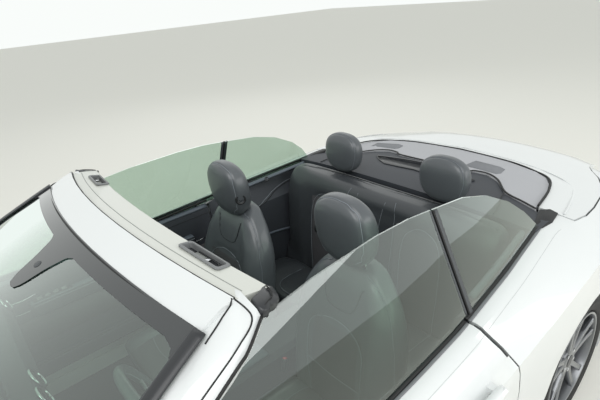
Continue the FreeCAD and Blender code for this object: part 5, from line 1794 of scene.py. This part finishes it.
@dataclass
class Wheels:
    """The four wheels: a grooved tyre, a twin-spoke rim, bolts and a brake disc.

    Attributes:
        front: The front wheels' middle, as x and y on the left side.
        rear: The rear wheels' middle.
        radius: The tyre's radius, which is the axles' height.
        grooves: The places of the grooves across the tread.
        groove: A groove's depth and the depth of the cross grooves.
        blocks: How many blocks the tread has round.
        wall: The tyre's side. Columns: place across, radius.
        barrel: The rim's section.
        hub: The hub's section.
        cap: The hub cap's section.
        disc: The brake disc's section.
        spoke_rows: Columns: radius, outer face's x, half width, depth.
        spoke_edge: A spoke's section, as shares of its half width and depth.
        spoke_pairs: How many pairs of spokes a rim has.
        lean: Half the angle between the two spokes of a pair, in degrees.
        bolts: How many bolts a wheel has.
        bolt_circle: The radius of the circle that they lie on.
    """

    front: tuple[float, float] = (781.0, -1553.0)
    rear: tuple[float, float] = (773.0, 1287.0)
    radius: float = 331.0
    grooves: tuple[float, ...] = (56.0, 20.0, -20.0, -56.0)
    groove: tuple[float, float] = (8.0, 5.5)
    blocks: int = 66
    wall: Outline = ((96, 243.5), (104, 249), (106, 254), (107, 255), (110, 268), (112.2, 284), (112.4, 290),
                     (111.4, 291), (111.4, 296), (110.6, 297), (108, 307), (104, 317), (98, 325), (92, 329))
    barrel: Outline = ((-106, 229), (-107, 239), (-100, 241), (-96, 236), (-70, 232), (70, 232), (96, 236),
                       (100, 241), (106, 239), (105, 230), (94, 227), (60, 225), (-60, 225), (-94, 226))
    hub: Outline = ((-24, 21), (62, 21), (70, 4), (84, 4), (87, 20), (90, 34), (88, 58), (82, 68), (60, 72),
                    (4, 70), (-24, 60))
    cap: Outline = ((84, 0.1), (91, 0.1), (92.5, 20), (91.5, 28), (89, 31), (84, 31))
    disc: Outline = ((6, 72), (6, 149), (12, 150), (12, 120), (20, 120), (20, 150), (26, 149), (26, 72))
    spoke_rows: tuple[tuple[float, ...], ...] = (
        (46, 87, 18, 26), (70, 88.5, 15.5, 24), (110, 90, 13, 21), (150, 92, 12, 19), (190, 95.5, 11.5, 17),
        (216, 98.5, 13, 16), (231, 100, 17, 16))
    spoke_edge: Outline = ((-1, -1), (-1.02, -0.3), (-0.78, 0), (-0.4, -0.07), (0, -0.11), (0.4, -0.07),
                           (0.78, 0), (1.02, -0.3), (1, -1))
    spoke_pairs: int = 5
    lean: float = 11.0
    bolts: int = 5
    bolt_circle: float = 50.0

    def build(self) -> None:
        """Make every wheel."""
        for end, place in (("front", self.front), ("rear", self.rear)):
            centre = Vector((*place, self.radius))
            for side in Side:
                self.tyre(end, centre, side)
                self.rim(end, centre, side)

    def tyre(self, end: str, centre: Vector, side: Side) -> None:
        """Make a tyre with its grooves and sidewall ribs.

        Args:
            end: "front" or "rear".
            centre: The wheel's middle on the left side.
            side: The side it is on.
        """
        r, (deep, shallow) = self.radius, self.groove
        cut = ((5, 0.6), (4, deep), (-4, deep), (-5, 0.6))
        tread = [(groove + x, r - z) for groove in self.grooves for x, z in cut]
        profile = [*self.wall, (84, r - 1.2), *tread, (-84, r - 1.2), *((-x, z) for x, z in self.wall[::-1])]
        rings = []
        for k in range(self.blocks):
            for share, sunk in ((0.0, 0.0), (0.02, shallow), (0.14, shallow), (0.16, 0.0)):
                ring = []
                for x, z in profile:
                    # The cross grooves slant towards the outside of the tread.
                    a = math.tau * (k + share) / self.blocks + 0.02 * abs(x) / 94
                    low = z - sunk if abs(x) > 60 and z > 322 else z
                    ring.append(centre + Vector((x, low * math.cos(a), low * math.sin(a))))
                rings.append(ring)
        label = "%s_%s" % (end, side.word)
        piece = make_piece("tyre_" + label, *hoop(rings), TYRE_RUBBER, label + "_wheel", side, smooth=False)
        outward(piece)
        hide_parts("%s_tyre_%s" % (end, side.word))

    def rim(self, end: str, centre: Vector, side: Side) -> None:
        """Make a rim with its spokes, hub, bolts and brake disc.

        Args:
            end: "front" or "rear".
            centre: The wheel's middle on the left side.
            side: The side it is on.
        """
        label = "%s_%s" % (end, side.word)
        spokes = joined([self.spoke(centre, math.radians(90 + number * 360 / self.spoke_pairs + lean))
                         for number in range(self.spoke_pairs) for lean in (-self.lean, self.lean)])
        for name, form, finish, smooth in (("rim_barrel_", lathe(self.barrel, 96, centre), RIM_SILVER, False),
                                           ("rim_hub_", lathe(self.hub, 60, centre), RIM_SILVER, False),
                                           ("rim_cap_", lathe(self.cap, 48, centre), SATIN_BLACK, False),
                                           ("brake_disc_", lathe(self.disc, 72, centre), STEEL, False),
                                           ("rim_spokes_", spokes, RIM_SILVER, True)):
            piece = make_piece(name + label, *form, finish, label + "_wheel", side, smooth)
            outward(piece)
            self.round_over(piece)
            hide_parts("%s_rim_%s" % (end, side.word))
        # Columns: name, radius, inner and outer end, corners, surface.
        for name, radius, low, high, sides, finish in (("bolt_wells_", 12.5, 80, 88.6, 20, SATIN_BLACK),
                                                       ("wheel_bolts_", 8.5, 82, 91.5, 6, CHROME)):
            profile = [(low, 0.1), (high, 0.1), (high, radius - 1.5), (high - 1.5, radius), (low, radius)]
            forms = []
            for number in range(self.bolts):
                a = math.radians(90 + 36 + 360 / self.bolts * number)
                spot = centre + Vector((0, math.cos(a), math.sin(a))) * self.bolt_circle
                forms.append(lathe(profile, sides, spot))
            outward(make_piece(name + label, *joined(forms), finish, label + "_wheel", side, smooth=False))

    def spoke(self, centre: Vector, turn: float) -> Form:
        """One spoke, hollowed a little along its face."""
        out, across = Vector((0, math.cos(turn), math.sin(turn))), Vector((0, -math.sin(turn), math.cos(turn)))
        return skin([[centre + out * radius + across * (half * u) + ACROSS * (x + depth * v)
                      for u, v in self.spoke_edge] for radius, x, half, depth in self.spoke_rows])

    def round_over(self, piece: Object, width: float = 1.6) -> None:
        """Round a piece's edges and shade it smooth.

        Args:
            piece: The piece.
            width: The rounding's width in millimetres.
        """
        bevel = piece.modifiers.new("bevel", "BEVEL")
        bevel.width = width * MM
        bevel.segments = 2
        bevel.limit_method = "ANGLE"
        bevel.angle_limit = math.radians(28)
        bevel.harden_normals = True
        for polygon in piece.data.polygons:
            polygon.use_smooth = True


@dataclass
class Studio:
    """The floor, the soft lights and the camera.

    Attributes:
        floor_colour: The floor's colour.
        reach: How far the floor reaches, in metres.
        sky: The sky's colour.
        lamps: Each lamp's name, place, size and power.
        aim: The place that the lamps face.
        card_height: The upright card's height in metres.
        card_rise: How far the card leans back, in degrees.
        eye: The camera's place in metres.
        right: The picture's right in the row frame.
        down: The picture's down in the row frame.
        ahead: The camera's view direction.
        focal_share: Focal length over the picture's width.
    """

    floor_colour: str = "#EEEDE6"
    reach: float = 40.0
    sky: tuple[float, ...] = (0.95, 0.98, 0.96, 1)
    lamps: tuple[tuple, ...] = (("key", (3.0, -3.5, 6.0), 5.0, 240), ("fill", (-5.0, 4.0, 5.0), 6.0, 50),
                                ("card", (6.0, 3.0, 3.25), 8.0, 160))
    aim: Point = (0, 0.4, 0.8)
    card_height: float = 3.0
    card_rise: float = 11.5
    eye: Point = (1.289, -0.479, 1.886)
    right: Point = (0.652, 0.754, -0.083)
    down: Point = (0.268, -0.332, -0.905)
    ahead: Point = (-0.709, 0.567, -0.418)
    focal_share: float = 445.9 / 600

    def build(self) -> None:
        """Add the floor, lights, world and camera."""
        self.add_floor()
        self.add_sky()
        self.add_lamps()
        self.add_camera()

    def add_floor(self) -> None:
        """Add a plain pale floor under the tyres."""
        mesh = bpy.data.meshes.new("studio_floor")
        corners = [(x * self.reach, y * self.reach, 0) for x, y in ((-1, -1), (1, -1), (1, 1), (-1, 1))]
        mesh.from_pydata(corners, [], [(0, 1, 2, 3)])
        floor = bpy.data.objects.new("studio_floor", mesh)
        bpy.context.scene.collection.objects.link(floor)
        floor.data.materials.append(Finish("pale_studio_floor", self.floor_colour, 0.7).build())

    def add_sky(self) -> None:
        """Add an even sky that is brighter where it is seen directly, and in glass and metal, than as a light."""
        world = bpy.data.worlds.new("studio_sky")
        bpy.context.scene.world = world
        world.use_nodes = True
        tree = world.node_tree
        back = tree.nodes["Background"]
        back.inputs[0].default_value = self.sky
        path = add_node(tree, "LightPath")
        seen = add_node(tree, "Math", path.outputs["Is Camera Ray"], path.outputs["Is Glossy Ray"],
                        operation="MAXIMUM")
        strength = add_node(tree, "MapRange", seen.outputs[0])
        strength.inputs["To Min"].default_value = 0.7
        strength.inputs["To Max"].default_value = 1.0
        tree.links.new(strength.outputs[0], back.inputs[1])

    def add_lamps(self) -> None:
        """Add three broad lamps, of which the card stands upright beside the car."""
        for name, place, size, power in self.lamps:
            lamp = bpy.data.lights.new(name, "AREA")
            lamp.energy = power
            lamp.size = size
            body = bpy.data.objects.new(name, lamp)
            body.location = place
            body.rotation_euler = (Vector(self.aim) - Vector(place)).to_track_quat("-Z", "Y").to_euler()
            if name == "card":
                # Its lower edge shows in the near door glass as the bright band along the top.
                lamp.shape = "RECTANGLE"
                lamp.size_y = self.card_height
                rise = math.radians(self.card_rise)
                turn = Matrix(((0, 0, 1), (math.cos(rise), -math.sin(rise), 0),
                               (math.sin(rise), math.cos(rise), 0)))
                body.rotation_euler = turn.to_euler()
            bpy.context.scene.collection.objects.link(body)

    def add_camera(self) -> None:
        """Stand the camera where the photograph was taken."""
        scene, data = bpy.context.scene, bpy.data.cameras.new("camera")
        data.sensor_width = 36.0
        data.lens = data.sensor_width * self.focal_share
        data.clip_start = 0.05
        camera = bpy.data.objects.new("camera", data)
        turn = Matrix((self.right, -Vector(self.down), -Vector(self.ahead))).transposed()
        camera.matrix_world = Matrix.Translation(self.eye) @ turn.to_4x4()
        scene.collection.objects.link(camera)
        scene.camera = camera
        scene.view_settings.view_transform = "Standard"


def main() -> None:
    """Build the scene in order."""
    for part in (CadSurfaces, Upholstery, HeaderTrim, SideTrim, RearDeck, Exterior, Interior, Wheels, Studio):
        log.info("%s", part.__name__)
        part().build()


if __name__ == "__main__":
    main()
